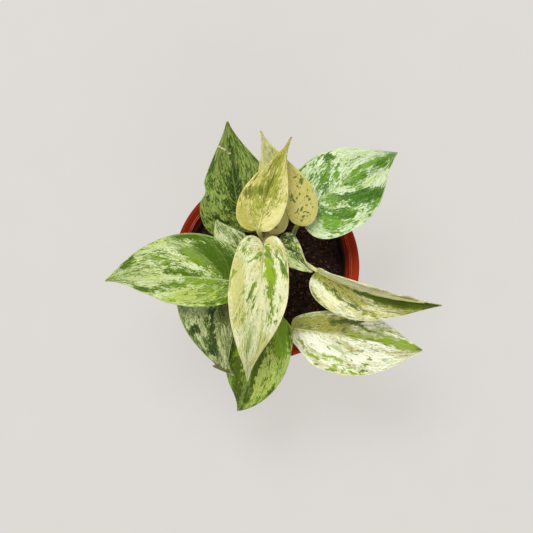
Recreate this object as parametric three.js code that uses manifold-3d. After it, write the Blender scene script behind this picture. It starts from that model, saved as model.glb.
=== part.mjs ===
// A young marble queen pothos in its round plastic nursery pot: the pot, the soil, four vines and
// twelve leaves, each leaf with its own stalk. Millimetres, +Z up. The origin is the centre of the
// pot's foot, on the surface that it stands on. +X is the plant's right and +Y its back.

import * as THREE from 'three';
import { mergeVertices } from 'three/addons/utils/BufferGeometryUtils.js';
import Module from 'manifold-3d';

const wasm = await Module();
wasm.setup();

// Pot: a tapered wall under a folded lip, with a ledge inside and drain holes in its floor.
const POT_HEIGHT = 105;
const LIP_RADIUS = 60;
const LIP_TOP_WIDTH = 6.5;
const LIP_HEIGHT = 17;
const LIP_SKIRT = 1.8;
const LIP_ROUND = 1.6;
const LIP_FOLD = 0.6;
const LIP_DRAFT = 0.3;
const LIP_FOOT_TAPER = 1;
const LEDGE_DEPTH = 7.5;
const LEDGE_FALL = 0.8;
const WALL = 2.2;
const WALL_TOP_RADIUS = 53.7;
const FOOT_RADIUS = 42;
const FOOT_ROUND = 2.5;
const POT_SIDES = 48;
const DRAIN_HOLES = 6;
const DRAIN_RADIUS = 4;
const DRAIN_CIRCLE = 30;
const DRAIN_SIDES = 16;

// Soil: filled to a little under the ledge, and clear of the wall by the fitting gap.
const SOIL_LEVEL = 90;
const SOIL_MOUND = 2.5;
const SOIL_MOUND_SPREAD = 26.5;
const SOIL_LUMP = 1.1;
const SOIL_RINGS = [6, 14, 22, 30, 38, 45];
const SOIL_SIDES = 40;
const SOIL_EDGE_DROP = 2;
const SOIL_SHOULDER_DROP = 6;
const SOIL_MIDDLE = 40;
const FIT_GAP = 0.3;

// Blade: its thickness, the rib under it, half the gap between its lobes, half the width of its tip,
// the share of the margin that goes round a lobe, and how far in from the margin its changes start.
const BLADE_THICK = 0.8;
const RIB_DEPTH = 0.9;
const RIB_TAPER = 0.8;
const NOTCH_HALF = 1.6;
const TIP_HALF = 0.35;
const LOBE_SHARE = 0.42;
const EDGE_CREASE = 0.35;

// Stalk: a sheath at its vine, thinner at the top, and a run under the first part of the midrib.
const SHEATH_RADIUS = 2.1;
const STALK_TOP_RADIUS = 1.2;
const STALK_TOP_DEPTH = 0.9;
const STALK_LEAVE = 0.4;
const STALK_ARRIVE = 0.33;
const STALK_RUN = [
  { s: 0.3, depth: 0.95, radius: 1 },
  { s: 0.36, depth: 0.75, radius: 0.6 },
];
const STALK_SIDES = 6;
const STALK_STEPS = 9;

// Vines: where each leaves the soil, where it ends, how far it sways to one side between, and the
// heights of its nodes.
const VINE_SIDES = 10;
const VINE_ROOT_DEPTH = 28;
const VINE_STEP = 5;
const VINE_TAPER = 0.88;
const NODE_SWELL = 0.45;
const NODE_LENGTH = 2.6;
const VINES = {
  vine_back: {
    foot: [-2, 15], top: [0.4, 19.4, 148], sway: [3, -0.5], radius: 2.7, nodes: [112, 126, 144],
  },
  vine_right: {
    foot: [10, 5], top: [10.8, 11, 130], sway: [1.8, -1], radius: 2.5, nodes: [101, 109, 127],
  },
  vine_left: {
    foot: [-7, 0], top: [-10.5, 3, 134], sway: [-1.8, 1], radius: 2.6, nodes: [101, 109, 118, 131],
  },
  vine_front: {
    foot: [4, -5], top: [4.2, -12, 105], sway: [0.8, 0], radius: 2.6, nodes: [96, 102],
  },
};

// Leaves. base is the top of the stalk, where the lobes part. heading, pitch, roll, twist, fold and
// droop are degrees: heading is counted from +X towards +Y, pitch is the rise of the midrib at the
// base, droop its bend down to the tip, fold the rise of each half from the midrib, roll the turn
// about the midrib with the left side up, and twist what the tip adds to it. left and right are the
// half widths and lobes the reach of the lobes behind the stalk. widest, cup, sweep and the two tip
// fullnesses are shares of the length. wave, waves and phase give the ripple of the margin. edges are
// places where one margin is wider or narrower and turned down, by so many millimetres. Each
// stalk leaves its vine at the height node, towards leave and lean degrees off the upright, and comes
// to the blade arrive degrees steeper than the midrib.
const LEAVES = {
  leaf_crown: {
    vine: 'vine_back', node: 126, leave: 205, lean: 14, arrive: 60, base: [-5, 22.5, 176],
    heading: 76, length: 59, left: 17.5, right: 12.5, lobes: 1.5, widest: 0.27, tipLeft: 0.04,
    tipRight: 0.03, fold: 14, cup: 0.12, sweep: -0.11, roll: 13, twist: 5, pitch: 22, droop: 24,
    wave: 0.7, waves: 1.6, phase: 0.1,
  },
  leaf_back_middle: {
    vine: 'vine_back', node: 112, leave: 50, lean: 22, arrive: 50, base: [13, 30.5, 160],
    heading: 108, length: 55.5, left: 18, right: 20.5, lobes: 10.5, widest: 0.14, tipLeft: 0.07,
    tipRight: 0.13, fold: 9, cup: 0.08, sweep: 0, roll: 2, twist: 2, pitch: 25, droop: 25,
    wave: 0.7, waves: 1.8, phase: 0.45,
  },
  leaf_back_left: {
    vine: 'vine_left', node: 109, leave: 105, lean: 35, arrive: 40, base: [-15.5, 23.5, 134],
    heading: 101, length: 68, left: 24, right: 28, lobes: 4, widest: 0.21, tipLeft: 0.29,
    tipRight: 0.23, fold: 8, cup: 0.11, sweep: -0.06, roll: 3, twist: 2, pitch: 18, droop: 24,
    wave: 0.9, waves: 2.1, phase: 0.7,
    edges: [{ side: -1, place: 0.56, spread: 0.045, widen: -2.8, drop: 1 }],
  },
  leaf_back_right: {
    vine: 'vine_right', node: 109, leave: 62, lean: 25, arrive: 45, base: [25, 34.5, 148],
    heading: 40, length: 69, left: 24, right: 28, lobes: 9.5, widest: 0.32, tipLeft: 0.53,
    tipRight: 0.33, fold: 6, cup: 0.14, sweep: -0.12, roll: -4, twist: 2, pitch: 6, droop: 34,
    wave: 0.9, waves: 1.7, phase: 0.2,
  },
  leaf_left: {
    vine: 'vine_left', node: 118, leave: 225, lean: 16, arrive: 50, base: [-21.5, -9, 150],
    heading: 172, length: 82.5, left: 20.5, right: 29.5, lobes: 5, widest: 0.28, tipLeft: 0.18,
    tipRight: 0.64, fold: 27, cup: 0.06, sweep: 0.14, roll: -1, twist: 17, pitch: -1, droop: 34,
    wave: 0.8, waves: 1.5, phase: 0.55,
  },
  leaf_centre: {
    vine: 'vine_back', node: 144, leave: 90, lean: 2, arrive: 62, base: [-2, 12, 170],
    heading: -92, length: 90, left: 18, right: 21, lobes: 8, widest: 0.29, tipLeft: 0.02,
    tipRight: 0.29, fold: 24, cup: 0.11, sweep: -0.08, roll: 0, twist: -3, pitch: 6, droop: 49,
    wave: 0.8, waves: 1.9, phase: 0.3,
  },
  leaf_front_left: {
    vine: 'vine_left', node: 101, leave: 205, lean: 42, arrive: 40, base: [-31, -9.5, 134],
    heading: -94, length: 65.5, left: 14.5, right: 25.5, lobes: 6.5, widest: 0.19, tipLeft: -0.2,
    tipRight: 0.5, fold: 10, cup: 0.13, sweep: 0.23, roll: -5, twist: -9, pitch: 4, droop: 41,
    wave: 0.8, waves: 1.8, phase: 0,
    edges: [{ side: 1, place: 0.935, spread: 0.035, widen: 6.5, drop: 5 }],
  },
  leaf_front: {
    vine: 'vine_front', node: 102, leave: 262, lean: 20, arrive: 35, base: [1.5, -31.5, 118],
    heading: -108, length: 77, left: 22.5, right: 20, lobes: 3, widest: 0.32, tipLeft: 0.54,
    tipRight: 0.22, fold: 13, cup: 0.13, sweep: 0, roll: 8, twist: 3, pitch: 4, droop: 59,
    wave: 0.9, waves: 1.7, phase: 0.8,
  },
  leaf_right_upper: {
    vine: 'vine_right', node: 101, leave: 25, lean: 30, arrive: 16, base: [32, -3.5, 137],
    heading: -30, length: 76.5, left: 21, right: 20, lobes: 2.5, widest: 0.37, tipLeft: 0.32,
    tipRight: 0.36, fold: 43, cup: 0.07, sweep: 0.3, roll: 42, twist: -18, pitch: -2, droop: 18,
    wave: 0.6, waves: 1.4, phase: 0.6,
  },
  leaf_right_lower: {
    vine: 'vine_front', node: 96, leave: 292, lean: 52, arrive: 18, base: [17, -39.5, 116],
    heading: -8, length: 85.5, left: 19, right: 25, lobes: 1.5, widest: 0.4, tipLeft: 0.5,
    tipRight: 0.68, fold: 18, cup: 0.09, sweep: -0.03, roll: 18, twist: -6, pitch: 5, droop: 22,
    wave: 0.9, waves: 1.9, phase: 0.15,
    edges: [
      { side: -1, place: 0.27, spread: 0.1, widen: -2.2, drop: 0 },
      { side: 1, place: 0.23, spread: 0.09, widen: -4.5, drop: 0 },
    ],
  },
  leaf_young_left: {
    vine: 'vine_left', node: 131, leave: 110, lean: 5, arrive: 65, base: [-11.5, 4, 143],
    heading: 128, length: 32, left: 12, right: 9.5, lobes: 3, widest: 0.24, tipLeft: 0.88,
    tipRight: 0.22, fold: 10, cup: 0.11, sweep: 0, roll: 2, twist: 2, pitch: 15, droop: 30,
    wave: 0.4, waves: 1.5, phase: 0.3,
  },
  leaf_young_right: {
    vine: 'vine_right', node: 127, leave: 160, lean: 8, arrive: 55, base: [8, 15, 146],
    heading: -45, length: 28, left: 9.5, right: 9.5, lobes: 2.5, widest: 0.13, tipLeft: 0,
    tipRight: 0.52, fold: 10, cup: 0.12, sweep: 0.05, roll: 0, twist: 0, pitch: 7, droop: 30,
    wave: 0.4, waves: 1.5, phase: 0.6,
  },
};

// Blade mesh: rows along the midrib and columns in each half, with fewer on a small leaf.
const SMALL_LEAF = 40;
const ROWS = 14;
const HALF_COLUMNS = 4;
const SMALL_ROWS = 10;
const SMALL_HALF_COLUMNS = 3;

// Colours and finishes, one material for each kind of piece.
const FINISH = {
  pot: { color: 0x9c3214, roughness: 0.42, metalness: 0 },
  soil: { color: 0x241711, roughness: 1, metalness: 0 },
  vine: { color: 0x71702f, roughness: 0.6, metalness: 0 },
  leaf: { color: 0xa9bf6c, roughness: 0.45, metalness: 0 },
};

const radians = THREE.MathUtils.degToRad;
const lerp = THREE.MathUtils.lerp;
const clamp = THREE.MathUtils.clamp;

function cubic(a, b, c, d, t) {
  const m = 1 - t;
  return m * m * m * a + 3 * m * m * t * b + 3 * m * t * t * c + t * t * t * d;
}

// Solids from closed meshes, and meshes from solids.

function toSolid(geometry) {
  const bare = geometry.clone();
  bare.deleteAttribute('normal');
  bare.deleteAttribute('uv');
  const merged = mergeVertices(bare, 1e-4);
  const vertProperties = new Float32Array(merged.attributes.position.array);
  const triVerts = new Uint32Array(merged.index.array);
  return new wasm.Manifold(new wasm.Mesh({ numProp: 3, vertProperties, triVerts }));
}

function toGeometry(solid) {
  const mesh = solid.getMesh();
  const geometry = new THREE.BufferGeometry();
  geometry.setAttribute('position', new THREE.BufferAttribute(mesh.vertProperties, 3));
  geometry.setIndex(new THREE.BufferAttribute(mesh.triVerts, 1));
  return geometry;
}

function closedGeometry(points, triangles) {
  const geometry = new THREE.BufferGeometry();
  geometry.setAttribute('position', new THREE.Float32BufferAttribute(points.flat(), 3));
  geometry.setIndex(triangles.flat());
  return geometry;
}

// A round tube with closed ends along a list of points, with one radius for each point.

function tube(path, radii, sides) {
  const points = [];
  const triangles = [];
  const along = new THREE.Vector3();
  const across = new THREE.Vector3(1, 0, 0);
  const last = path.length - 1;
  for (let i = 0; i <= last; i += 1) {
    along.subVectors(path[Math.min(i + 1, last)], path[Math.max(i - 1, 0)]).normalize();
    across.addScaledVector(along, -across.dot(along)).normalize();
    const other = new THREE.Vector3().crossVectors(along, across);
    for (let k = 0; k < sides; k += 1) {
      const angle = (2 * Math.PI * k) / sides;
      const p = path[i].clone();
      p.addScaledVector(across, radii[i] * Math.cos(angle));
      p.addScaledVector(other, radii[i] * Math.sin(angle));
      points.push(p.toArray());
    }
  }
  for (let i = 0; i < last; i += 1) {
    for (let k = 0; k < sides; k += 1) {
      const a = i * sides + k;
      const b = i * sides + ((k + 1) % sides);
      triangles.push([a, b, b + sides], [a, b + sides, a + sides]);
    }
  }
  points.push(path[0].toArray(), path[last].toArray());
  const start = points.length - 2;
  for (let k = 0; k < sides; k += 1) {
    const next = (k + 1) % sides;
    triangles.push([start, next, k]);
    triangles.push([start + 1, last * sides + k, last * sides + next]);
  }
  return closedGeometry(points, triangles);
}

// Pot

function wallRadius(z) {
  return lerp(FOOT_RADIUS, WALL_TOP_RADIUS, z / POT_HEIGHT);
}

function potSolid() {
  const lipInner = LIP_RADIUS - LIP_TOP_WIDTH;
  const ledge = POT_HEIGHT - LEDGE_DEPTH;
  const skirtFoot = POT_HEIGHT - LIP_HEIGHT;
  const groove = LIP_RADIUS - LIP_SKIRT;
  const shoulder = LIP_ROUND * (1 - Math.SQRT1_2);
  const profile = [
    [0, 0],
    [FOOT_RADIUS - FOOT_ROUND, 0],
    [FOOT_RADIUS, FOOT_ROUND],
    [wallRadius(ledge - WALL), ledge - WALL],
    [lipInner + WALL - LIP_DRAFT, ledge],
    [lipInner + WALL, POT_HEIGHT - WALL],
    [groove, POT_HEIGHT - WALL],
    [groove - LIP_FOLD, skirtFoot],
    [LIP_RADIUS - LIP_FOOT_TAPER, skirtFoot],
    [LIP_RADIUS, POT_HEIGHT - LIP_ROUND],
    [LIP_RADIUS - shoulder, POT_HEIGHT - shoulder],
    [LIP_RADIUS - LIP_ROUND, POT_HEIGHT],
    [lipInner + LIP_FOLD, POT_HEIGHT],
    [lipInner, POT_HEIGHT - LIP_FOLD],
    [lipInner - LIP_DRAFT, ledge],
    [wallRadius(ledge) - WALL, ledge - LEDGE_FALL],
    [wallRadius(WALL + FOOT_ROUND) - WALL, WALL + FOOT_ROUND],
    [FOOT_RADIUS - FOOT_ROUND - WALL, WALL],
    [0, WALL],
  ];
  const outline = profile.map(([r, z]) => new THREE.Vector2(r, z));
  const body = new THREE.LatheGeometry(outline, POT_SIDES);
  body.rotateX(Math.PI / 2);
  let solid = toSolid(body);
  for (let i = 0; i < DRAIN_HOLES; i += 1) {
    const angle = (2 * Math.PI * (i + 0.5)) / DRAIN_HOLES;
    const drill = new THREE.CylinderGeometry(DRAIN_RADIUS, DRAIN_RADIUS, 4 * WALL, DRAIN_SIDES);
    drill.rotateX(Math.PI / 2);
    drill.translate(DRAIN_CIRCLE * Math.cos(angle), DRAIN_CIRCLE * Math.sin(angle), WALL / 2);
    solid = solid.subtract(toSolid(drill));
  }
  return solid;
}

// Soil

function soilHeight(x, y) {
  const mound = SOIL_MOUND * Math.exp(-((Math.hypot(x, y) / SOIL_MOUND_SPREAD) ** 2));
  const broad = Math.sin(0.31 * x + 1.3) * Math.cos(0.27 * y - 0.4);
  const fine = 0.6 * Math.sin(0.53 * x - 0.61 * y);
  return SOIL_LEVEL + mound + SOIL_LUMP * (broad + fine);
}

function soilSolid() {
  const edge = (z) => wallRadius(z) - WALL - 1.3 * FIT_GAP;
  const rings = SOIL_RINGS.map((radius) => [radius, soilHeight]);
  const bottom = WALL + FIT_GAP;
  const heights = [
    SOIL_LEVEL - SOIL_EDGE_DROP,
    SOIL_LEVEL - SOIL_SHOULDER_DROP,
    SOIL_MIDDLE,
    WALL + FOOT_ROUND + 1,
  ];
  heights.forEach((z) => rings.push([edge(z), () => z]));
  rings.push([FOOT_RADIUS - FOOT_ROUND - WALL - 1, () => bottom]);
  const points = [[0, 0, soilHeight(0, 0)]];
  rings.forEach(([radius, height]) => {
    for (let k = 0; k < SOIL_SIDES; k += 1) {
      const angle = (2 * Math.PI * k) / SOIL_SIDES;
      const x = radius * Math.cos(angle);
      const y = radius * Math.sin(angle);
      points.push([x, y, height(x, y)]);
    }
  });
  points.push([0, 0, bottom]);
  const centre = points.length - 1;
  const last = 1 + (rings.length - 1) * SOIL_SIDES;
  const triangles = [];
  for (let k = 0; k < SOIL_SIDES; k += 1) {
    const next = (k + 1) % SOIL_SIDES;
    triangles.push([0, 1 + k, 1 + next], [centre, last + next, last + k]);
    for (let a = 1 + k; a < last; a += SOIL_SIDES) {
      const b = a - k + next;
      triangles.push([a, a + SOIL_SIDES, b + SOIL_SIDES], [a, b + SOIL_SIDES, b]);
    }
  }
  return toSolid(closedGeometry(points, triangles));
}

// Vines

function vineAxis(vine, z) {
  const share = clamp((z - SOIL_LEVEL) / (vine.top[2] - SOIL_LEVEL), 0, 1);
  const bend = share * share * (3 - 2 * share);
  const bow = Math.sin(Math.PI * share);
  const x = lerp(vine.foot[0], vine.top[0], bend) + bow * vine.sway[0];
  const y = lerp(vine.foot[1], vine.top[1], bend) + bow * vine.sway[1];
  return new THREE.Vector3(x, y, z);
}

function vineSolid(vine, grow) {
  const low = SOIL_LEVEL - VINE_ROOT_DEPTH - grow;
  const high = vine.top[2] + grow;
  const steps = Math.round((high - low) / VINE_STEP);
  const path = [];
  const radii = [];
  for (let i = 0; i <= steps; i += 1) {
    const z = lerp(low, high, i / steps);
    let swell = 0;
    vine.nodes.forEach((node) => {
      swell += NODE_SWELL * Math.exp(-(((z - node) / NODE_LENGTH) ** 2));
    });
    path.push(vineAxis(vine, z));
    radii.push(vine.radius * lerp(1, VINE_TAPER, i / steps) + swell + grow);
  }
  return toSolid(tube(path, radii, VINE_SIDES));
}

// Leaf blade. s runs round each lobe and out to the tip, from 0 in the notch to 1. t runs across
// from -1 at the left margin to 1 at the right one, so a line of one s is a side vein.

function edgeChange(leaf, side, s, change) {
  const edges = (leaf.edges ?? []).filter((edge) => edge.side === side);
  return edges.reduce((sum, edge) => {
    const away = (s - edge.place) / edge.spread;
    return sum + edge[change] * Math.exp(-(away ** 2));
  }, 0);
}

function marginPoint(s, leaf, side) {
  const back = leaf.lobes / leaf.length;
  const wide = (side < 0 ? leaf.left : leaf.right) / leaf.length;
  const full = side < 0 ? leaf.tipLeft : leaf.tipRight;
  const notch = NOTCH_HALF / leaf.length;
  const wider = edgeChange(leaf, side, s, 'widen') / leaf.length;
  if (s < LOBE_SHARE) {
    const a = s / LOBE_SHARE;
    const x = cubic(-0.45 * back, -1.25 * back, -back, leaf.widest, a);
    return [x, cubic(notch, 0.3 * wide, 0.98 * wide, wide, a) + wider];
  }
  const b = (s - LOBE_SHARE) / (1 - LOBE_SHARE);
  const x = cubic(leaf.widest, leaf.widest + 0.27, 0.74, 1, b);
  return [x, cubic(wide, wide, wide * full, TIP_HALF / leaf.length, b) + wider];
}

function veinRoot(s) {
  return 0.05 * s + 0.95 * Math.max((s - 0.24) / 0.76, 0) ** 1.45;
}

function bladePoint(leaf, s, t) {
  const size = leaf.length;
  const side = t < 0 ? -1 : 1;
  const u = Math.abs(t);
  const [marginX, marginY] = marginPoint(s, leaf, side);
  const root = veinRoot(s);
  const x = (root + (marginX - root) * u ** 1.2) * size;
  const y = -side * marginY * u * size;
  const soft = 0.02 * size;
  const off = Math.abs(y);
  let up = (Math.sqrt(off * off + soft * soft) - soft) * Math.sin(radians(leaf.fold));
  up -= (leaf.cup * off * off) / (0.4 * size);
  const turn = leaf.waves * s + leaf.phase + (side < 0 ? 0 : 0.37);
  up += leaf.wave * u * u * Math.sin(2 * Math.PI * turn);
  up -= edgeChange(leaf, side, s, 'drop') * THREE.MathUtils.smoothstep(u, EDGE_CREASE, 1);
  let across = y * Math.cos(radians(leaf.fold)) + leaf.sweep * size * Math.max(x / size, 0) ** 2;
  const roll = radians(leaf.roll + leaf.twist * clamp(x / size, -0.2, 1));
  const turnedAcross = across * Math.cos(roll) - up * Math.sin(roll);
  up = across * Math.sin(roll) + up * Math.cos(roll);
  across = turnedAcross;
  const pitch = radians(leaf.pitch);
  const bend = radians(leaf.droop) / size;
  const slope = pitch - bend * x;
  const forward = (Math.sin(pitch) - Math.sin(slope)) / bend - up * Math.sin(slope);
  const rise = (Math.cos(slope) - Math.cos(pitch)) / bend + up * Math.cos(slope);
  const heading = radians(leaf.heading);
  return new THREE.Vector3(
    leaf.base[0] + forward * Math.cos(heading) - across * Math.sin(heading),
    leaf.base[1] + forward * Math.sin(heading) + across * Math.cos(heading),
    leaf.base[2] + rise,
  );
}

function bladeNormal(leaf, s, t) {
  const step = 0.004;
  const s0 = clamp(s - step, 0, 1);
  const s1 = clamp(s + step, 0, 1);
  const t0 = clamp(t - step, -1, 1);
  const t1 = clamp(t + step, -1, 1);
  const alongS = bladePoint(leaf, s1, t).sub(bladePoint(leaf, s0, t));
  const alongT = bladePoint(leaf, s, t1).sub(bladePoint(leaf, s, t0));
  return alongT.cross(alongS).normalize();
}

function bladeSolid(leaf) {
  const small = leaf.length < SMALL_LEAF;
  const rows = small ? SMALL_ROWS : ROWS;
  const half = small ? SMALL_HALF_COLUMNS : HALF_COLUMNS;
  const columns = 2 * half + 1;
  const top = [];
  const bottom = [];
  for (let i = 0; i <= rows; i += 1) {
    const s = i / rows;
    for (let j = -half; j <= half; j += 1) {
      const t = j / half;
      const p = bladePoint(leaf, s, t);
      const n = bladeNormal(leaf, s, t);
      const rib = j === 0 ? RIB_DEPTH * (1 - RIB_TAPER * s) : 0;
      top.push(p.clone().addScaledVector(n, BLADE_THICK / 2).toArray());
      bottom.push(p.clone().addScaledVector(n, -BLADE_THICK / 2 - rib).toArray());
    }
  }
  const under = top.length;
  const triangles = [];
  const face = (a, b, c) => {
    triangles.push([a, b, c], [a + under, c + under, b + under]);
  };
  for (let i = 0; i < rows; i += 1) {
    for (let j = 0; j < columns - 1; j += 1) {
      const a = i * columns + j;
      const b = a + 1;
      const c = a + columns;
      const d = c + 1;
      if (j < half) {
        face(a, b, d);
        face(a, d, c);
      } else {
        face(a, b, c);
        face(b, d, c);
      }
    }
  }
  const rim = [];
  for (let j = 0; j < columns - 1; j += 1) {
    rim.push(j);
  }
  for (let i = 0; i < rows; i += 1) {
    rim.push(i * columns + columns - 1);
  }
  for (let j = columns - 1; j > 0; j -= 1) {
    rim.push(rows * columns + j);
  }
  for (let i = rows; i > 0; i -= 1) {
    rim.push(i * columns);
  }
  rim.forEach((a, i) => {
    const b = rim[(i + 1) % rim.length];
    triangles.push([b, a, a + under], [b, a + under, b + under]);
  });
  return toSolid(closedGeometry([...top, ...bottom], triangles));
}

// Leaf stalk: leaves its vine at a node in a wide sheath, arches over and runs on under the midrib.

function stalkSolid(leaf) {
  const vine = VINES[leaf.vine];
  const start = vineAxis(vine, leaf.node);
  const under = (s, depth) => bladePoint(leaf, s, 0).addScaledVector(bladeNormal(leaf, s, 0), -depth);
  const end = under(0.02, STALK_TOP_DEPTH);
  const reach = start.distanceTo(end);
  const leave = radians(leaf.leave);
  const lean = radians(leaf.lean);
  const out = new THREE.Vector3(
    Math.cos(leave) * Math.sin(lean),
    Math.sin(leave) * Math.sin(lean),
    Math.cos(lean),
  );
  const rise = radians(leaf.pitch + leaf.arrive);
  const heading = radians(leaf.heading);
  const arrive = new THREE.Vector3(
    Math.cos(heading) * Math.cos(rise),
    Math.sin(heading) * Math.cos(rise),
    Math.sin(rise),
  );
  const second = start.clone().addScaledVector(out, STALK_LEAVE * reach);
  const third = end.clone().addScaledVector(arrive, -STALK_ARRIVE * reach);
  const curve = new THREE.CubicBezierCurve3(start, second, third, end);
  const path = [];
  const radii = [];
  for (let i = 0; i <= STALK_STEPS; i += 1) {
    const share = i / STALK_STEPS;
    path.push(curve.getPoint(share));
    radii.push(STALK_TOP_RADIUS + (SHEATH_RADIUS - STALK_TOP_RADIUS) * (1 - share) ** 2);
  }
  STALK_RUN.forEach(({ s, depth, radius }) => {
    path.push(under(s, depth));
    radii.push(radius);
  });
  return toSolid(tube(path, radii, STALK_SIDES));
}

function leafSolid(leaf) {
  const whole = bladeSolid(leaf).add(stalkSolid(leaf));
  return whole.subtract(vineSolid(VINES[leaf.vine], FIT_GAP));
}

// The plant in its pot

const plant = new THREE.Group();

function addPiece(name, solid, finish) {
  const mesh = new THREE.Mesh(toGeometry(solid), new THREE.MeshStandardMaterial(FINISH[finish]));
  mesh.name = name;
  plant.add(mesh);
}

addPiece('pot', potSolid(), 'pot');

let soil = soilSolid();
Object.entries(VINES).forEach(([name, vine]) => {
  soil = soil.subtract(vineSolid(vine, FIT_GAP));
  addPiece(name, vineSolid(vine, 0), 'vine');
});
addPiece('soil', soil, 'soil');

Object.entries(LEAVES).forEach(([name, leaf]) => {
  addPiece(name, leafSolid(leaf), 'leaf');
});

export default plant;
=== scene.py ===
import math
import random
from math import radians

import bpy
import numpy as np
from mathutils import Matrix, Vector, noise


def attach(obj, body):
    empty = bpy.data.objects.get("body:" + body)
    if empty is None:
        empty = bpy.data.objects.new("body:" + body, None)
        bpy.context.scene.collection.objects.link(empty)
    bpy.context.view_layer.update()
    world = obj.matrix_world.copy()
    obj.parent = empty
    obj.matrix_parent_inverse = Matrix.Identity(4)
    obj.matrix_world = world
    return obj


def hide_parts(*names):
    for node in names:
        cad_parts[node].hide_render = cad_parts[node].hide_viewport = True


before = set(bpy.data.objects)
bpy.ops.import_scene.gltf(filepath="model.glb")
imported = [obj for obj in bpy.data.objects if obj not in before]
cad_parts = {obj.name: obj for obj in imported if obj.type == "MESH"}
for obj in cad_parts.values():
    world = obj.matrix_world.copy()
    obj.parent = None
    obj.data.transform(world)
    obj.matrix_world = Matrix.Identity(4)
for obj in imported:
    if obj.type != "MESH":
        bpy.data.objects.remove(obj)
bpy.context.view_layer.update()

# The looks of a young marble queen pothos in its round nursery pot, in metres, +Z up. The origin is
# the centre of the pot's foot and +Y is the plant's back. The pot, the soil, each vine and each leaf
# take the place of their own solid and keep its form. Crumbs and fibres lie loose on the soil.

# Picture: straight down on the pot, with the rim filling a third of the frame.
IMAGE_PIXELS = 533
PIXEL_AT_RIM = 0.000645
CAMERA_HEIGHT = 1.105
SENSOR = 36
FLOOR_SIZE = 6
FLOOR_PAINT = ((0.12, 0.12, 0.12, 1), (0.13, 0.13, 0.13, 1))
FLOOR_GLOW = 0.77
SKY_TONE = (1, 0.985, 0.96, 1)
SKY_POWER = 0.48
LIGHT_AIM = (0, 0, 0.12)
LIGHTS = {
    "window": dict(place=(-0.22, 0.5, 1.36), size=0.55, power=15, tone=(1, 0.985, 0.955)),
    "fill": dict(place=(0.25, -0.95, 1.2), size=1.2, power=7, tone=(1, 0.99, 0.97)),
}

# Colours as they are seen on the screen, 0 to 255
PAINTS = dict(
    floor=(219, 216, 210), floor_light=(221, 218, 212),
    # The pot's first two tones on the next line are its left side in painted shade, mottled, and its
    # third is its right side in painted light.
    pot_shade_dark=(112, 24, 2), pot_shade_mottle=(122, 30, 4), pot_lit_side=(158, 42, 6), pot_speck=(116, 28, 6),
    # Of the next line's tones, the middle one is a painted highlight along the two beads inside the
    # lip.
    pot_scuff=(168, 70, 42), pot_bead_highlight=(176, 92, 76), pot_soiled=(50, 36, 30),
    earth=(40, 29, 24), clod=(62, 45, 37), earth_grain=(102, 74, 60), bark=(126, 76, 54),
    crumb=(40, 28, 23), crumb_light=(136, 88, 66), crumb_speck=(34, 24, 20),
    fibre=(74, 46, 34), fibre_light=(112, 72, 50),
    vine=(118, 122, 58), vine_patch=(150, 138, 78), vine_node=(112, 84, 46), vine_speck=(84, 66, 38),
    sheath=(128, 104, 58), leaf_tip=(158, 140, 74), leaf_scar=(206, 178, 164),
    leaf_under=(160, 172, 110),
)

# Pot. The rings are points of its outline. SKIRT_RINGS says how far in from the lip's edge and how
# far up from the skirt's foot, BEAD_RINGS how far out from the lip's inner edge and how far up from
# its dished top, and WALL_RINGS how high and how far sunk into the wall. BEADS are the middles of
# the two beads, out from the lip's inner edge.
POT_HEIGHT = 0.105
LIP_RADIUS = 0.060
LIP_TOP_WIDTH = 0.0065
LIP_HEIGHT = 0.017
LIP_SKIRT = 0.0018
LIP_ROUND = 0.0016
LIP_DRAFT = 0.0003
LIP_DISH = 0.001
DISH_IN = 0.0022
DISH_DOWN = 0.0001
SKIRT_RINGS = ((0.0024, 0.0003), (0.0021, 0), (0.0014, 0), (0.001, 0.0005), (0.0006, 0.006))
BEAD_RINGS = (
    (0.0018, 0), (0.0015, 0.0004), (0.0012, 0.0004), (0.0009, -0.0003), (0.0007, -0.0003),
    (0.0005, 0.0003),
)
BEADS = (0.0003, 0.0014)
BEAD_ROUND = 0.0003
BEAD_RISE = 0.0002
LEDGE_DEPTH = 0.0075
LEDGE_FALL = 0.0008
LEDGE_ROUND = 0.0006
LEDGE_SHOULDER = 0.6
WALL = 0.0022
WALL_TOP_RADIUS = 0.0537
WALL_RINGS = (
    (0.010, 0), (0.0108, 0), (0.0112, 0.00035), (0.0126, 0.00035), (0.013, 0), (0.0136, 0),
    (0.03, 0), (0.05, 0), (0.07, 0), (0.085, 0),
)
INNER_HEIGHTS = (0.08, 0.05, 0.02)
FOOT_RADIUS = 0.042
FOOT_ROUND = 0.0025
FOOT_SEAT = 0.004
FLOOR_RADII = (0.012, 0.020)
POT_SIDES = 160
DRAIN_HOLES = 6
DRAIN_RADIUS = 0.004
DRAIN_CIRCLE = 0.030
DRAIN_SIDES = 40
# How far either side of the pot's middle, along x, the painted shade of its left side blends into the
# painted light of its right side.
POT_SHADE_BLEND = 0.05
# Painted highlights along the two beads: how far from a bead's middle they fade out, and how far below
# the pot's top they fade in.
BEAD_HIGHLIGHT_WIDTH = (0.0001, 0.0004)
BEAD_HIGHLIGHT_DEPTH = (0.003, 0.002)

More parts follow.
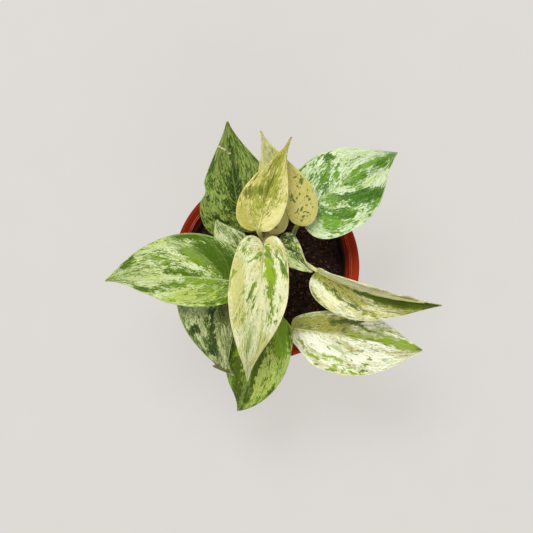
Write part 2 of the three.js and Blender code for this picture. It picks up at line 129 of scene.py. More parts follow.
# Soil. SOIL_CLODS are layers of lumps: their size, their height and how rough they are.
SOIL_LEVEL = 0.090
SOIL_BOTTOM = 0.005
SOIL_MOUND = 0.0025
SOIL_MOUND_SPREAD = 0.0265
SOIL_LUMP = 0.0011
SOIL_CLODS = ((0.005, 0.0011, 0.6), (0.0016, 0.0005, 0.7))
SOIL_SETTLE = 0.0011
SOIL_EDGE_DROP = 0.002
SOIL_GAP = 0.0004
SOIL_COLUMNS = 240
SOIL_ROWS = 120
SOIL_TOP_SHARE = 0.9
SOIL_CENTRE = 0.01
SOIL_FALL_START = 0.93
SOIL_SEED = 7
SCATTER_MARGIN = 0.002
CRUMBS = dict(count=1500, sizes=(0.0004, 0.0013), sink=0.0003)
FIBRES = dict(count=90, sizes=(0.0015, 0.0045), sink=0.0001)
STRAND_BEND = (0.22, 0.16)
STRAND_SIDES = 5
STAIN_EDGE = 0.0508
STAIN_FADE = 0.0022
STAIN_BOTTOM = (0.08, 0.084)

# Blade. Its outline and its bends have the values of the solid.
BLADE_THICK = 0.0006
NOTCH_HALF = 0.0016
TIP_HALF = 0.00035
LOBE_SHARE = 0.42
LOBE_BACK = (0.45, 1.25)
LOBE_WIDE = (0.3, 0.98)
TIP_REACH = (0.27, 0.74)
VEIN_START = 0.24
VEIN_CREEP = 0.05
VEIN_CURVE = 1.45
MARGIN_CURVE = 1.2
FOLD_SOFT = 0.02
CUP_SPAN = 0.4
WAVE_SHIFT = 0.37
EDGE_CREASE = 0.35

# The fine form and the grain of a blade, which only show close up. They are given for a leaf that
# is as long as FULL_LENGTH.
BLADE_ROWS = 150
BLADE_COLUMNS = 92
SMALL_LEAF = 0.040
SMALL_SHARE = 0.6
FULL_LENGTH = 0.07
NORMAL_STEP = 0.004
SIDE_VEINS = 10
VEIN_SWEEP = 0.42
VEIN_GROOVE = 0.00014
VEIN_WIDTH = 0.09
PUFF = 0.00022
RIB_GROOVE = 0.0006
RIB_HALF = 0.0009
MARGIN_TURN = 0.0005
MARGIN_RANGE = (0.88, 1)
MARGIN_TIP = (0.8, 1)
PUFF_INNER = (0.03, 0.25)
PUFF_OUTER = (0.7, 1)
PUFF_TIP = (0.85, 1)
RIB_THINNING = 0.7
RIPPLE = 0.0004
RIPPLE_BASE = (0.05, 0.3)
RIPPLE_TIP = (0.75, 1)
FRAYS = ((0.0034, 0.5), (0.0014, 0.6))
MILLIMETRES = 1000

# Layers of noise on a blade: how often each one changes across the side veins and along them, its
# shift, its detail, its roughness and its distortion. NOISE_SHARES says how much of them is added to
# the strokes of each kind.
LEAF_NOISES = dict(
    broad=(8, 2.2, 0, 2, 0.5, 0), streaks=(28, 6.5, 2.3, 4, 0.7, 0.8),
    flecks=(54, 13, 4.1, 3, 0.65, 0.8), grain=(95, 38, 5.6, 2, 0.6, 0),
    deep=(14, 3.4, 6.7, 4, 0.65, 0.6), warm_and_shade=(12, 3, 8.9, 4, 0.65, 0.6),
    milk_and_sheen=(22, 3, 11.3, 4, 0.6, 0), pale=(80, 40, 13.7, 2, 0.6, 0),
)
NOISE_SHARES = dict(
    green=dict(broad=2.4, streaks=5, flecks=4.6, grain=2.4), deep=dict(deep=3.8, grain=1.6),
    warm_and_shade=dict(warm_and_shade=3, grain=1.4), milk_and_sheen=dict(milk_and_sheen=3, flecks=0.8),
)

# Stalk
SHEATH_RADIUS = 0.0021
STALK_TOP_RADIUS = 0.0012
STALK_TOP_DEPTH = 0.0009
STALK_LEAVE = 0.4
STALK_ARRIVE = 0.33
STALK_SIDES = 20
STALK_ROWS = 70
STALK_SHARE = 0.6
STALK_HOLLOW = 0.38
STALK_WINGS = 0.42
UNDER_RIB_END = 0.9
UNDER_RIB_DEPTH = 0.0004
UNDER_RIB_RADIUS = 0.00035

# Vines. A node is a swelling with a leaf scar: a fine ring above it and a crease below.
VINE_ROOT_DEPTH = 0.028
VINE_TAPER = 0.88
VINE_END_SHARE = 0.97
VINE_END_ROUND = 0.0305
VINE_RIDGES = 7
VINE_RIDGE_HEIGHT = 0.00006
NODE_SWELL = 0.00045
NODE_LENGTH = 0.0026
NODE_RING = 0.00022
NODE_RING_RISE = 0.0011
NODE_CREASE = 0.00012
NODE_CREASE_DROP = 0.0002
NODE_RING_LENGTH = 0.0004
NODE_STAIN_RISE = 0.001
NODE_STAIN_LENGTH = 0.0009
NUB_DROP = 0.0012
NUB_LENGTHS = (0.0018, 0.0034)
NUB_DROOP = 0.0014
NUB_RADIUS = 0.00085
NUB_SIDES = 10
NUB_ROWS = 12
VINE_SIDES = 28
VINE_ROWS = 170
VINES = {
    "vine_back": dict(
        foot=(-0.002, 0.015), top=(0.0004, 0.0194, 0.148), sway=(0.003, -0.0005), radius=0.0027,
        nodes=(0.112, 0.126, 0.144),
    ),
    "vine_right": dict(
        foot=(0.010, 0.005), top=(0.0108, 0.011, 0.130), sway=(0.0018, -0.001), radius=0.0025,
        nodes=(0.101, 0.109, 0.127),
    ),
    "vine_left": dict(
        foot=(-0.007, 0), top=(-0.0105, 0.003, 0.134), sway=(-0.0018, 0.001), radius=0.0026,
        nodes=(0.101, 0.109, 0.118, 0.131),
    ),
    "vine_front": dict(
        foot=(0.004, -0.005), top=(0.0042, -0.012, 0.105), sway=(0.0008, 0), radius=0.0026,
        nodes=(0.096, 0.102),
    ),
}

# Leaves. base is the top of the stalk, where the lobes part. heading, pitch, roll, twist, fold and
# droop are degrees. left and right are the half widths, lobes the reach of the lobes behind the
# stalk. widest, cup, sweep and the tip fullnesses are shares of the length. edges are places where
# one margin is wider or narrower and turned down.
LEAVES = {
    "leaf_crown": dict(
        vine="vine_back", node=0.126, leave=205, lean=14, arrive=60,
        base=(-0.005, 0.0225, 0.176), heading=76, length=0.059,
        left=0.0175, right=0.0125, lobes=0.0015, widest=0.27,
        tip_left=0.04, tip_right=0.03, fold=14, cup=0.12, sweep=-0.11,
        roll=13, twist=5, pitch=22, droop=24,
        wave=0.0007, waves=1.6, phase=0.1,
    ),
    "leaf_back_middle": dict(
        vine="vine_back", node=0.112, leave=50, lean=22, arrive=50,
        base=(0.013, 0.0305, 0.16), heading=108, length=0.0555,
        left=0.018, right=0.0205, lobes=0.0105, widest=0.14,
        tip_left=0.07, tip_right=0.13, fold=9, cup=0.08, sweep=0,
        roll=2, twist=2, pitch=25, droop=25,
        wave=0.0007, waves=1.8, phase=0.45,
    ),
    "leaf_back_left": dict(
        vine="vine_left", node=0.109, leave=105, lean=35, arrive=40,
        base=(-0.0155, 0.0235, 0.134), heading=101, length=0.068,
        left=0.024, right=0.028, lobes=0.004, widest=0.21,
        tip_left=0.29, tip_right=0.23, fold=8, cup=0.11, sweep=-0.06,
        roll=3, twist=2, pitch=18, droop=24,
        wave=0.0009, waves=2.1, phase=0.7,
        edges=(
            dict(side=-1, place=0.56, spread=0.045, widen=-0.0028, drop=0.001),
        ),
    ),
    "leaf_back_right": dict(
        vine="vine_right", node=0.109, leave=62, lean=25, arrive=45,
        base=(0.025, 0.0345, 0.148), heading=40, length=0.069,
        left=0.024, right=0.028, lobes=0.0095, widest=0.32,
        tip_left=0.53, tip_right=0.33, fold=6, cup=0.14, sweep=-0.12,
        roll=-4, twist=2, pitch=6, droop=34,
        wave=0.0009, waves=1.7, phase=0.2,
    ),
    "leaf_left": dict(
        vine="vine_left", node=0.118, leave=225, lean=16, arrive=50,
        base=(-0.0215, -0.009, 0.15), heading=172, length=0.0825,
        left=0.0205, right=0.0295, lobes=0.005, widest=0.28,
        tip_left=0.18, tip_right=0.64, fold=27, cup=0.06, sweep=0.14,
        roll=-1, twist=17, pitch=-1, droop=34,
        wave=0.0008, waves=1.5, phase=0.55,
    ),
    "leaf_centre": dict(
        vine="vine_back", node=0.144, leave=90, lean=2, arrive=62,
        base=(-0.002, 0.012, 0.17), heading=-92, length=0.09,
        left=0.018, right=0.021, lobes=0.008, widest=0.29,
        tip_left=0.02, tip_right=0.29, fold=24, cup=0.11, sweep=-0.08,
        roll=0, twist=-3, pitch=6, droop=49,
        wave=0.0008, waves=1.9, phase=0.3,
    ),
    "leaf_front_left": dict(
        vine="vine_left", node=0.101, leave=205, lean=42, arrive=40,
        base=(-0.031, -0.0095, 0.134), heading=-94, length=0.0655,
        left=0.0145, right=0.0255, lobes=0.0065, widest=0.19,
        tip_left=-0.2, tip_right=0.5, fold=10, cup=0.13, sweep=0.23,
        roll=-5, twist=-9, pitch=4, droop=41,
        wave=0.0008, waves=1.8, phase=0,
        edges=(
            dict(side=1, place=0.935, spread=0.035, widen=0.0065, drop=0.005),
        ),
    ),
    "leaf_front": dict(
        vine="vine_front", node=0.102, leave=262, lean=20, arrive=35,
        base=(0.0015, -0.0315, 0.118), heading=-108, length=0.077,
        left=0.0225, right=0.02, lobes=0.003, widest=0.32,
        tip_left=0.54, tip_right=0.22, fold=13, cup=0.13, sweep=0,
        roll=8, twist=3, pitch=4, droop=59,
        wave=0.0009, waves=1.7, phase=0.8,
    ),
    "leaf_right_upper": dict(
        vine="vine_right", node=0.101, leave=25, lean=30, arrive=16,
        base=(0.032, -0.0035, 0.137), heading=-30, length=0.0765,
        left=0.021, right=0.02, lobes=0.0025, widest=0.37,
        tip_left=0.32, tip_right=0.36, fold=43, cup=0.07, sweep=0.3,
        roll=42, twist=-18, pitch=-2, droop=18,
        wave=0.0006, waves=1.4, phase=0.6,
    ),
    "leaf_right_lower": dict(
        vine="vine_front", node=0.096, leave=292, lean=52, arrive=18,
        base=(0.017, -0.0395, 0.116), heading=-8, length=0.0855,
        left=0.019, right=0.025, lobes=0.0015, widest=0.4,
        tip_left=0.5, tip_right=0.68, fold=18, cup=0.09, sweep=-0.03,
        roll=18, twist=-6, pitch=5, droop=22,
        wave=0.0009, waves=1.9, phase=0.15,
        edges=(
            dict(side=-1, place=0.27, spread=0.1, widen=-0.0022, drop=0),
            dict(side=1, place=0.23, spread=0.09, widen=-0.0045, drop=0),
        ),
    ),
    "leaf_young_left": dict(
        vine="vine_left", node=0.131, leave=110, lean=5, arrive=65,
        base=(-0.0115, 0.004, 0.143), heading=128, length=0.032,
        left=0.012, right=0.0095, lobes=0.003, widest=0.24,
        tip_left=0.88, tip_right=0.22, fold=10, cup=0.11, sweep=0,
        roll=2, twist=2, pitch=15, droop=30,
        wave=0.0004, waves=1.5, phase=0.3,
    ),
    "leaf_young_right": dict(
        vine="vine_right", node=0.127, leave=160, lean=8, arrive=55,
        base=(0.008, 0.015, 0.146), heading=-45, length=0.028,
        left=0.0095, right=0.0095, lobes=0.0025, widest=0.13,
        tip_left=0, tip_right=0.52, fold=10, cup=0.12, sweep=0.05,
        roll=0, twist=0, pitch=7, droop=30,
        wave=0.0004, waves=1.5, phase=0.6,
    ),
}


# Marbling. share is how much of a leaf is green: the lower it is, the less. deep and bright are its
# greens, cream and warm_and_shade its pale colours, film_and_sheen the milky green of a thin pale
# layer.
# On some leaves the warm colour is also painted shade, and the milky film also painted sheen,
# painted highlights and painted light shining through the leaf.
LOOKS = {
    "leaf_crown": dict(
        seed=1.3, cream_leaf=True, share=-0.15, deep=(98, 106, 20), bright=(142, 150, 36),
        cream=(214, 207, 142), warm_and_shade=(174, 168, 80), film_and_sheen=(156, 160, 68), rib=(200, 198, 100),
        edge=(222, 212, 142), stalk=(206, 198, 104), stalk_streak=(228, 222, 150),
    ),
    "leaf_back_middle": dict(
        seed=2.7, cream_leaf=True, share=-1.3, deep=(84, 96, 26), bright=(100, 112, 40),
        cream=(188, 182, 112), warm_and_shade=(178, 170, 86), film_and_sheen=(216, 218, 164), rib=(184, 178, 92),
        edge=(196, 190, 112), stalk=(120, 124, 52), stalk_streak=(150, 150, 80),
    ),
    "leaf_back_left": dict(
        seed=3.1, cream_leaf=False, share=0.05, deep=(32, 56, 4), bright=(62, 94, 20),
        cream=(140, 160, 78), warm_and_shade=(118, 132, 52), film_and_sheen=(104, 124, 62), rib=(112, 138, 66),
        edge=(126, 150, 76), stalk=(128, 146, 70), stalk_streak=(160, 170, 100),
    ),
    "leaf_back_right": dict(
        seed=4.9, cream_leaf=False, share=-0.1, deep=(54, 98, 0), bright=(100, 144, 24),
        cream=(206, 218, 190), warm_and_shade=(180, 200, 130), film_and_sheen=(148, 178, 110), rib=(150, 180, 100),
        edge=(196, 214, 160), stalk=(122, 138, 58), stalk_streak=(150, 160, 84),
    ),
    "leaf_left": dict(
        seed=5.2, cream_leaf=False, share=-0.05, deep=(66, 96, 0), bright=(112, 144, 12),
        cream=(208, 218, 176), warm_and_shade=(168, 186, 84), film_and_sheen=(122, 146, 74), rib=(180, 198, 118),
        edge=(160, 182, 100), stalk=(140, 156, 76), stalk_streak=(176, 186, 110),
    ),
    "leaf_centre": dict(
        seed=6.4, cream_leaf=True, share=-0.52, deep=(72, 104, 0), bright=(128, 158, 16),
        cream=(220, 225, 192), warm_and_shade=(194, 190, 120), film_and_sheen=(166, 180, 112), rib=(218, 216, 156),
        edge=(214, 200, 136), stalk=(150, 134, 84), stalk_streak=(176, 164, 110),
    ),
    # This leaf's warm colour is a dark brown used as painted shade.
    "leaf_front_left": dict(
        seed=7.8, cream_leaf=False, share=0, deep=(40, 62, 10), bright=(88, 112, 26),
        cream=(196, 210, 148), warm_and_shade=(98, 94, 48), film_and_sheen=(132, 152, 98), rib=(116, 130, 76),
        edge=(164, 172, 122), stalk=(120, 136, 66), stalk_streak=(150, 160, 96),
    ),
    "leaf_front": dict(
        seed=8.5, cream_leaf=False, share=0.2, deep=(66, 84, 0), bright=(122, 160, 30),
        cream=(196, 214, 116), warm_and_shade=(164, 178, 66), film_and_sheen=(148, 172, 96), rib=(120, 130, 66),
        edge=(136, 162, 84), stalk=(126, 140, 66), stalk_streak=(150, 160, 90),
    ),
    # This leaf's milky film is near-white: painted light shining through the leaf's left half.
    "leaf_right_upper": dict(
        seed=9.1, cream_leaf=True, share=-0.25, deep=(66, 86, 0), bright=(122, 136, 22),
        cream=(222, 224, 192), warm_and_shade=(160, 153, 76), film_and_sheen=(252, 242, 150), rib=(150, 154, 72),
        edge=(216, 216, 166), stalk=(206, 204, 140), stalk_streak=(226, 224, 170),
    ),
    # This leaf's warm colour is a khaki used as painted shade.
    "leaf_right_lower": dict(
        seed=10.6, cream_leaf=True, share=-0.5, deep=(76, 90, 2), bright=(138, 164, 28),
        cream=(246, 248, 228), warm_and_shade=(150, 144, 52), film_and_sheen=(204, 212, 176), rib=(196, 196, 136),
        edge=(228, 226, 176), stalk=(206, 204, 140), stalk_streak=(226, 224, 170),
    ),
    "leaf_young_left": dict(
        seed=11.4, cream_leaf=False, share=-0.12, deep=(84, 106, 26), bright=(104, 128, 40),
        cream=(208, 216, 168), warm_and_shade=(182, 194, 128), film_and_sheen=(160, 178, 118), rib=(186, 200, 140),
        edge=(200, 210, 160), stalk=(176, 184, 120), stalk_streak=(206, 210, 150),
    ),
    "leaf_young_right": dict(
        seed=12.9, cream_leaf=False, share=-0.15, deep=(34, 46, 2), bright=(90, 114, 30),
        cream=(214, 224, 164), warm_and_shade=(158, 176, 102), film_and_sheen=(134, 156, 96), rib=(156, 174, 104),
        edge=(182, 196, 134), stalk=(150, 162, 90), stalk_streak=(180, 190, 120),
    ),
}

# Strokes. Each gives a place on a leaf more or less of one thing: green, deep, warm_and_shade,
# milk_and_sheen or scar. Some of them are painted light and shade, as said at those leaves.
# Its numbers are the s and t where it starts and the s and t where it ends, in hundredths, its half
# width in millimetres, or one for each end, and how much.
STROKES = {
    "leaf_crown": dict(
        green=(
            (50, -90, 62, -30, 3, 1.1), (60, -5, 74, -10, 1.8, 1.5, 1.3), (60, 22, 85, 22, 1.4, 1.2, 1),
            (24, 55, 44, 85, 3.2, 2.6, -1.7), (22, -60, 38, -85, 4, -0.8), (38, -20, 50, -30, 2.6, 0.7),
            (76, -60, 86, -60, 1.2, 1, 0.9),
        ),
        deep=(
            (50, -90, 62, -30, 3, 0.6), (60, -5, 74, -10, 1.8, 1.5, 1.2),
            (60, 22, 85, 22, 1.4, 1.2, -0.8), (38, -20, 50, -30, 2.6, -1),
        ),
        warm_and_shade=(
            (24, 55, 44, 85, 3.2, 2.6, -1.8), (22, -60, 38, -85, 4, 0.9),
            (80, -50, 95, -30, 2, 1.5, 1.2),
        ),
    ),
    "leaf_back_middle": dict(
        green=(
            (56, 82, 57, 83, 0.8, 4), (61, 72, 61, 73, 0.5, 3.6), (45, 29, 42, 31, 1, 0.8, 4),
            (49, 29, 49, 31, 0.6, 0.5, 3.6), (47, 50, 48, 51, 0.6, 3.6), (45, 42, 45, 43, 0.5, 3.2),
            (43, 72, 43, 74, 0.8, 0.7, 4), (40, 73, 40, 74, 0.7, 4), (38, 80, 38, 81, 0.5, 3.4),
            (34, 52, 36, 54, 0.8, 0.6, 4), (33, 33, 34, 36, 0.6, 3.6), (30, 58, 31, 68, 0.7, 0.8, 4),
            (30, 42, 30, 44, 0.7, 0.6, 3.8), (26, 55, 26, 57, 0.5, 3.6),
            (25, 70, 25, 72, 0.6, 0.5, 3.4), (35, 82, 35, 83, 0.6, 3.4), (52, 66, 52, 67, 0.5, 3.2),
            (65, 45, 66, 46, 0.5, 3), (55, 58, 55, 59, 0.5, 3.4), (28, 76, 28, 78, 0.6, 0.5, 3.6),
            (38, 62, 38, 64, 0.6, 0.5, 3.6), (40, 44, 40, 45, 0.5, 3.4),
            (21, 60, 22, 62, 0.6, 0.5, 3.4), (58, 88, 59, 89, 0.5, 3.4), (52, 36, 52, 37, 0.5, 3.4),
            (88, -10, 92, 10, 0.7, 0.6, 3.4), (82, 10, 85, 20, 0.7, 3.4), (84, 55, 86, 62, 0.6, 3.2),
            (78, -20, 80, -16, 0.6, 3.2), (80, -10, 97, 10, 4, 2, 1.1), (30, -55, 31, -60, 0.7, 3.4),
            (24, -70, 25, -72, 0.6, 3.4),
        ),
        milk_and_sheen=((80, -60, 97, 0, 5, 3, 1.6), (25, 60, 65, 60, 12, 10, -1.2), (25, -60, 30, -60, 8, -1.2)),
    ),
    # The milky stroke at the left margin near s 50 is a painted highlight on the turned-down margin.
    "leaf_back_left": dict(
        deep=(
            (52, 5, 74, 5, 5, 4, 1), (84, 8, 90, 40, 1.6, 1.4, 1.2), (66, -70, 76, -60, 1.5, 1.2),
            (40, -50, 45, -10, 3, 1.2),
        ),
        green=(
            (52, 5, 74, 5, 5, 4, 0.7), (86, -50, 97, -20, 2.5, 1.5, -0.45),
            (78, -20, 94, 10, 4, 2.5, -0.2), (85, 35, 93, 30, 1.5, 1.2, -0.5),
            (80, 8, 92, 14, 1, 0.8, 1.1), (56, -85, 56, -30, 2, 1.6, -0.9),
            (46, -80, 44, -40, 2, 1.6, -0.6),
        ),
        milk_and_sheen=((49, -98, 51, -93, 1.5, 2.4),),
        scar=(
            (84.5, -95, 84.5, -40, 0.5, 1), (83.5, -10, 83.2, 4, 0.5, 0.4, 1),
            (80, 16, 74, 14, 0.35, 0.3, 0.45),
        ),
    ),
    "leaf_back_right": dict(
        green=(
            (54, -88, 58, -84, 1.8, 1.6), (56, -62, 50, -35, 1.6, 1.4, 1.2),
            (62, -55, 60, -30, 1.1, 1, 1.1), (44, -85, 47, -35, 3, 0.4), (64, -92, 90, -70, 4, 3, -1.4),
            (66, -35, 80, -40, 3, 2, -0.6), (73, -12, 84, -14, 1.5, 1.6, 1.6),
            (88, 0, 97, 0, 3.4, 2.4, 1.8), (66, 6, 76, 18, 1.6, 2, 1.6),
            (56, 6, 62, 34, 1.1, 1.5, -1.7), (50, 14, 65, 90, 3, 4.6, 2.2),
            (37, 30, 45, 65, 3.2, 3.6, 1.5), (37, 34, 39, 40, 1, -2), (43, 78, 47, 86, 1.2, 1, -1.9),
            (32, 55, 36, 70, 2.2, 2.4, 1.2), (20, 62, 27, 72, 2.8, 2.4, -0.9),
            (18, 96, 32, 96, 1, -1.6), (72, 55, 82, 90, 2.6, 3, -1.7), (87, 42, 89, 50, 1.1, 1.3),
        ),
        deep=(
            (54, -88, 58, -84, 1.8, 0.8), (73, -12, 84, -14, 1.5, 1.6, -0.7),
            (55, 20, 68, 90, 2, 3, 1.6), (32, 45, 38, 80, 2.6, -1.2),
        ),
        milk_and_sheen=((20, 62, 27, 72, 2.6, 2.2, 1.8),),
    ),
    # The milky stroke on the right half, s 42 to 58, is painted sheen: a reflection of the sky.
    "leaf_left": dict(
        green=(
            (26, 40, 42, 60, 8, 2.4), (46, 40, 53, 62, 2, 2.4, 1.5), (67, 86, 60, 70, 3, 2, -1.2),
            (60, 52, 50, 20, 1.2, -1.2), (70, 16, 50, 6, 1.4, 1.8, 1.4), (60, 36, 72, 55, 1.6, 0.9),
            (84, 92, 90, 80, 2, 1.4, 1.5), (60, 100, 38, 100, 1.6, 2, 2.2),
            (90, -10, 64, -6, 1.4, 1.3, -1.7), (80, -45, 70, -50, 1.5, 1.7, -1.3),
            (68, -64, 56, -30, 1.1, 1.3, 1.3), (70, -86, 78, -94, 1.4, 1.2, 1.5),
            (56, -16, 40, -12, 2, 1.8, 1.2), (60, -92, 46, -60, 2.2, 2.6, -1),
            (36, -96, 26, -84, 1.7, 1.5, 1.5), (49, -66, 50, -60, 0.8, 0.7, 2.4),
            (28, -30, 32, -60, 2, 0.7),
        ),
        deep=(
            (26, 40, 40, 70, 7, 1.4), (46, 40, 53, 62, 2.2, 2.4, -1.5), (70, 16, 50, 6, 1.4, 1.8, 0.6),
            (84, 92, 90, 80, 2, 1.4, 1), (60, 100, 38, 100, 1.6, 2, 1.4),
            (70, -86, 78, -94, 1.4, 1.2, 1.2), (56, -16, 40, -12, 2, 1.8, -1.2),
        ),
        milk_and_sheen=((42, 36, 58, 88, 1.8, 3, 1.5),),
        warm_and_shade=((50, -70, 30, -60, 5, 1.1),),
    ),
    "leaf_centre": dict(
        green=(
            (16, -22, 42, -32, 1.2, 3.2, 2.7), (42, -30, 60, -62, 2.9, 0.7, 2.2),
            (30, -62, 38, -94, 0.9, 1.1, 1.7), (14, -60, 24, -92, 2.6, -1.1),
            (44, -80, 52, -92, 1.6, -0.6), (34, -52, 46, -76, 0.7, 1.4, -2),
            (44, 0, 64, -10, 1.2, -1.2), (47, -72, 50, -80, 0.9, 1.1), (60, -86, 61, -80, 0.7, 2),
            (62, -58, 66, -64, 0.7, 0.6, 1.6), (63, 66, 65, 63, 1, 0.9, 2.4),
            (37, 94, 38, 92, 0.9, 0.8, 2.3), (19, 82, 20, 78, 0.9, 0.8, 2.2),
            (31, 6, 36, 44, 1.1, 0.8, 2.2), (28, 76, 29, 72, 0.6, 1.9), (50, 20, 56, 44, 0.9, 2.2),
            (58, 20, 65, 32, 0.8, 0.7, 1.9), (46, 52, 50, 62, 0.7, 1), (72, 20, 80, 50, 1.6, 1.8, 0.8),
        ),
        deep=(
            (38, -20, 44, -40, 2.4, -1.2), (30, -62, 38, -94, 1, 1.3, 0.5),
            (72, 20, 80, 50, 1.6, 1.8, 1),
        ),
        milk_and_sheen=((72, 20, 80, 50, 1.6, 2, 2.2),),
        warm_and_shade=(
            (35, 85, 62, 75, 3, 4, 1.1), (12, -60, 30, -94, 1.6, 1.2, 2),
            (72, -80, 90, -60, 2, 1.5, 1.2),
        ),
    ),
    # The warm strokes are painted shade: on the turned-down flap near the tip, where green and milk are
    # taken out, and on a strip of the left half beside leaf_centre.
    "leaf_front_left": dict(
        milk_and_sheen=((50, 90, 48, 30, 2.6, 1.5), (91, 90, 96, 60, 2.4, 2, -3)),
        green=(
            (50, 90, 48, 30, 2.6, 2.4, -0.9), (64, 90, 62, 66, 2.2, 1.8), (55, 14, 80, 50, 2, 2.6, 2.4),
            (68, 52, 54, 44, 0.8, 0.9, -2.4), (68, 12, 92, 10, 1.3, 0.9, -1.7),
            (74, 30, 92, 40, 0.6, -1.2), (52, -30, 58, -30, 3, 0.5), (66, -50, 78, -80, 1.5, 1, -0.9),
            (91, 90, 96, 60, 2.2, 1.8, -3),
        ),
        deep=((64, 90, 62, 66, 2.4, 1.6), (55, 14, 80, 50, 2.2, 2.6, 1.8)),
        warm_and_shade=((51, -30, 58, -30, 3, 1.8), (91, 90, 96, 60, 2.2, 1.8, 4)),
    ),
    # Next to the midrib on the left half, from s 46 to 90, the green and deep strokes are a dark
    # marking with painted shadow of leaf_centre in it. Near the base of the left half, the deep stroke
    # taken out makes the green brighter: painted light.
    "leaf_front": dict(
        green=(
            (24, -60, 40, -66, 3.6, 2.2), (40, -97, 54, -92, 1.2, 1.6, -0.7),
            (54, -36, 80, -62, 2.4, 3, -1.3), (50, -62, 60, -62, 1.6, -0.8),
            (62, -96, 68, -98, 1.5, 1.3, 1.8), (46, -10, 88, -24, 2.4, 2.6, 2.6),
            (46, 80, 62, 76, 2.6, 2.4, 1.6), (60, 60, 86, 60, 4, 3, 1.3), (88, 60, 96, -60, 2, 1.5),
        ),
        deep=(
            (24, -60, 40, -66, 3.6, -1.8), (62, -96, 68, -98, 1.5, 1.3, 1.6),
            (46, -10, 90, -30, 2.6, 1.7), (44, 90, 56, 86, 1.4, 1.6, 1.2),
            (60, 60, 84, 60, 3, 2.6, 1.2), (88, 60, 96, -60, 1.8, 1.2),
        ),
        milk_and_sheen=((40, -97, 54, -92, 1.2, 1.8, 2), (72, 0, 95, 0, 0.9, 1.4)),
        warm_and_shade=((56, 95, 62, 92, 1.2, 1.5),),
    ),
    # The milky strokes over the left half, with this leaf's near-white film, are painted light shining
    # through the leaf, and the warm strokes there are taken out for it. The warm strokes next to the
    # midrib on the right half are painted shade along the fold.
    "leaf_right_upper": dict(
        green=(
            (14, 86, 56, 94, 1.8, 2.2, -0.8), (59, 8, 94, 26, 1.3, 2.5, 2.4),
            (70, 30, 90, 55, 2.2, 1.6, 1.7), (84, 5, 99, 0, 3.2, 2.4), (64, -10, 96, -25, 1.2, 1.8, 3),
            (42, 28, 46, 50, 1.4, 1.3, 1.3), (51, 54, 56, 68, 1.2, 1.4), (57, 76, 64, 82, 1, 1.4),
            (48, 14, 60, 34, 1.6, -0.4), (14, 30, 32, 12, 1.4, 1.2, 1.2), (34, 30, 38, 44, 0.8, 1.4),
            (30, -70, 90, -85, 4, 2, -0.7), (48, -10, 52, -10, 0.8, 1.7), (60, -40, 63, -40, 0.8, 1.6),
        ),
        deep=(
            (58, 6, 96, 40, 2.2, 2.4, 0.9), (84, 5, 99, 0, 3.2, 0.4), (66, -12, 96, -25, 1.6, 2, 1),
            (42, 28, 46, 50, 1.1, 0.8), (51, 54, 56, 68, 0.9, 1, 0.8), (14, 30, 32, 12, 1.4, 1.2, -1.2),
        ),
        warm_and_shade=(
            (16, 16, 50, 10, 3, 3.4, 2.2), (48, 16, 60, 42, 2.4, 2.6, 1.2),
            (78, 84, 94, 84, 1.2, 1, 1.8), (30, -50, 90, -50, 6, 4, -0.6),
            (6, -60, 30, -60, 6, 4, -1.5), (12, 90, 46, 94, 2.4, 2.6, -0.7),
        ),
        milk_and_sheen=((16, 16, 60, 10, 3, 3.4, -1.5), (6, -70, 86, -85, 5.5, 2, 2.2), (55, 5, 95, 5, 3, -2.5)),
    ),
    # The warm strokes on the left half are painted shadow cast by leaf_right_upper, in khaki.
    "leaf_right_lower": dict(
        warm_and_shade=(
            (14, -50, 50, -45, 4, 5, 2.6), (50, -20, 66, -22, 2.2, 1.8, 2.2),
            (30, 55, 74, 50, 13, 9, -0.3), (54, 22, 66, 40, 4, 3, 0.4),
        ),
        green=(
            (25, -32, 38, -14, 1.3, 1.2, 1.5), (44, -52, 56, -70, 1.8, 2, 2.2),
            (60, -60, 80, -40, 1, 1.4, 0.9), (30, 55, 74, 50, 13, 9, -0.45), (29, 60, 30, 62, 0.6, 3),
            (35, 86, 36, 88, 0.7, 0.6, 3), (37, 50, 38, 53, 0.6, 2.8), (42, 80, 43, 82, 0.7, 0.6, 3),
            (47, 82, 48, 84, 0.6, 3), (47, 40, 48, 44, 0.6, 0.5, 2.6), (57, 60, 58, 63, 0.6, 2.8),
            (57, 90, 58, 92, 0.7, 0.6, 3), (70, 62, 71, 66, 0.7, 0.6, 2.8),
            (68, 34, 70, 38, 0.6, 0.5, 2.6), (56, -30, 60, -14, 1.2, 1.2),
            (52, -92, 68, -66, 2.4, 2, -1.7), (64, -52, 72, -72, 0.8, 1.1, 2),
            (66, -34, 68, -44, 0.7, -1.4), (62, -10, 99, -24, 1.3, 2, 2.8),
            (80, -42, 93, -55, 1.8, 1.5, 1.2), (27, 40, 30, 44, 0.8, 0.7, 3),
            (33, 62, 37, 74, 0.8, 2.8), (39, 92, 41, 94, 0.8, 3), (31, 48, 33, 50, 0.7, 0.6, 2.6),
            (41, 55, 43, 56, 0.6, 2.8), (44, 58, 49, 68, 0.9, 1.2, 3), (44, 92, 45, 93, 0.8, 0.7, 3),
            (50, 90, 52, 94, 0.9, 1, 3.2), (53, 72, 54, 74, 0.8, 0.7, 3),
            (51, 30, 56, 54, 1.2, 0.9, 1.5), (63, 74, 65, 78, 0.9, 0.8, 3),
            (78, 72, 81, 86, 1.3, 1.4, 1), (56, 26, 68, 36, 3.4, 3, 0.45),
            (89, 12, 95, 18, 1, 0.9, 2.2),
        ),
        deep=(
            (44, -52, 56, -70, 2.4, 2.2, 1.8), (56, -30, 60, -14, 1.2, 0.8),
            (62, -30, 96, -40, 1.8, -1), (80, -42, 93, -55, 1.8, 1.6, -0.5), (27, 46, 50, 90, 4, -1.2),
            (89, 12, 95, 18, 1.2, 1, -1),
        ),
        milk_and_sheen=(
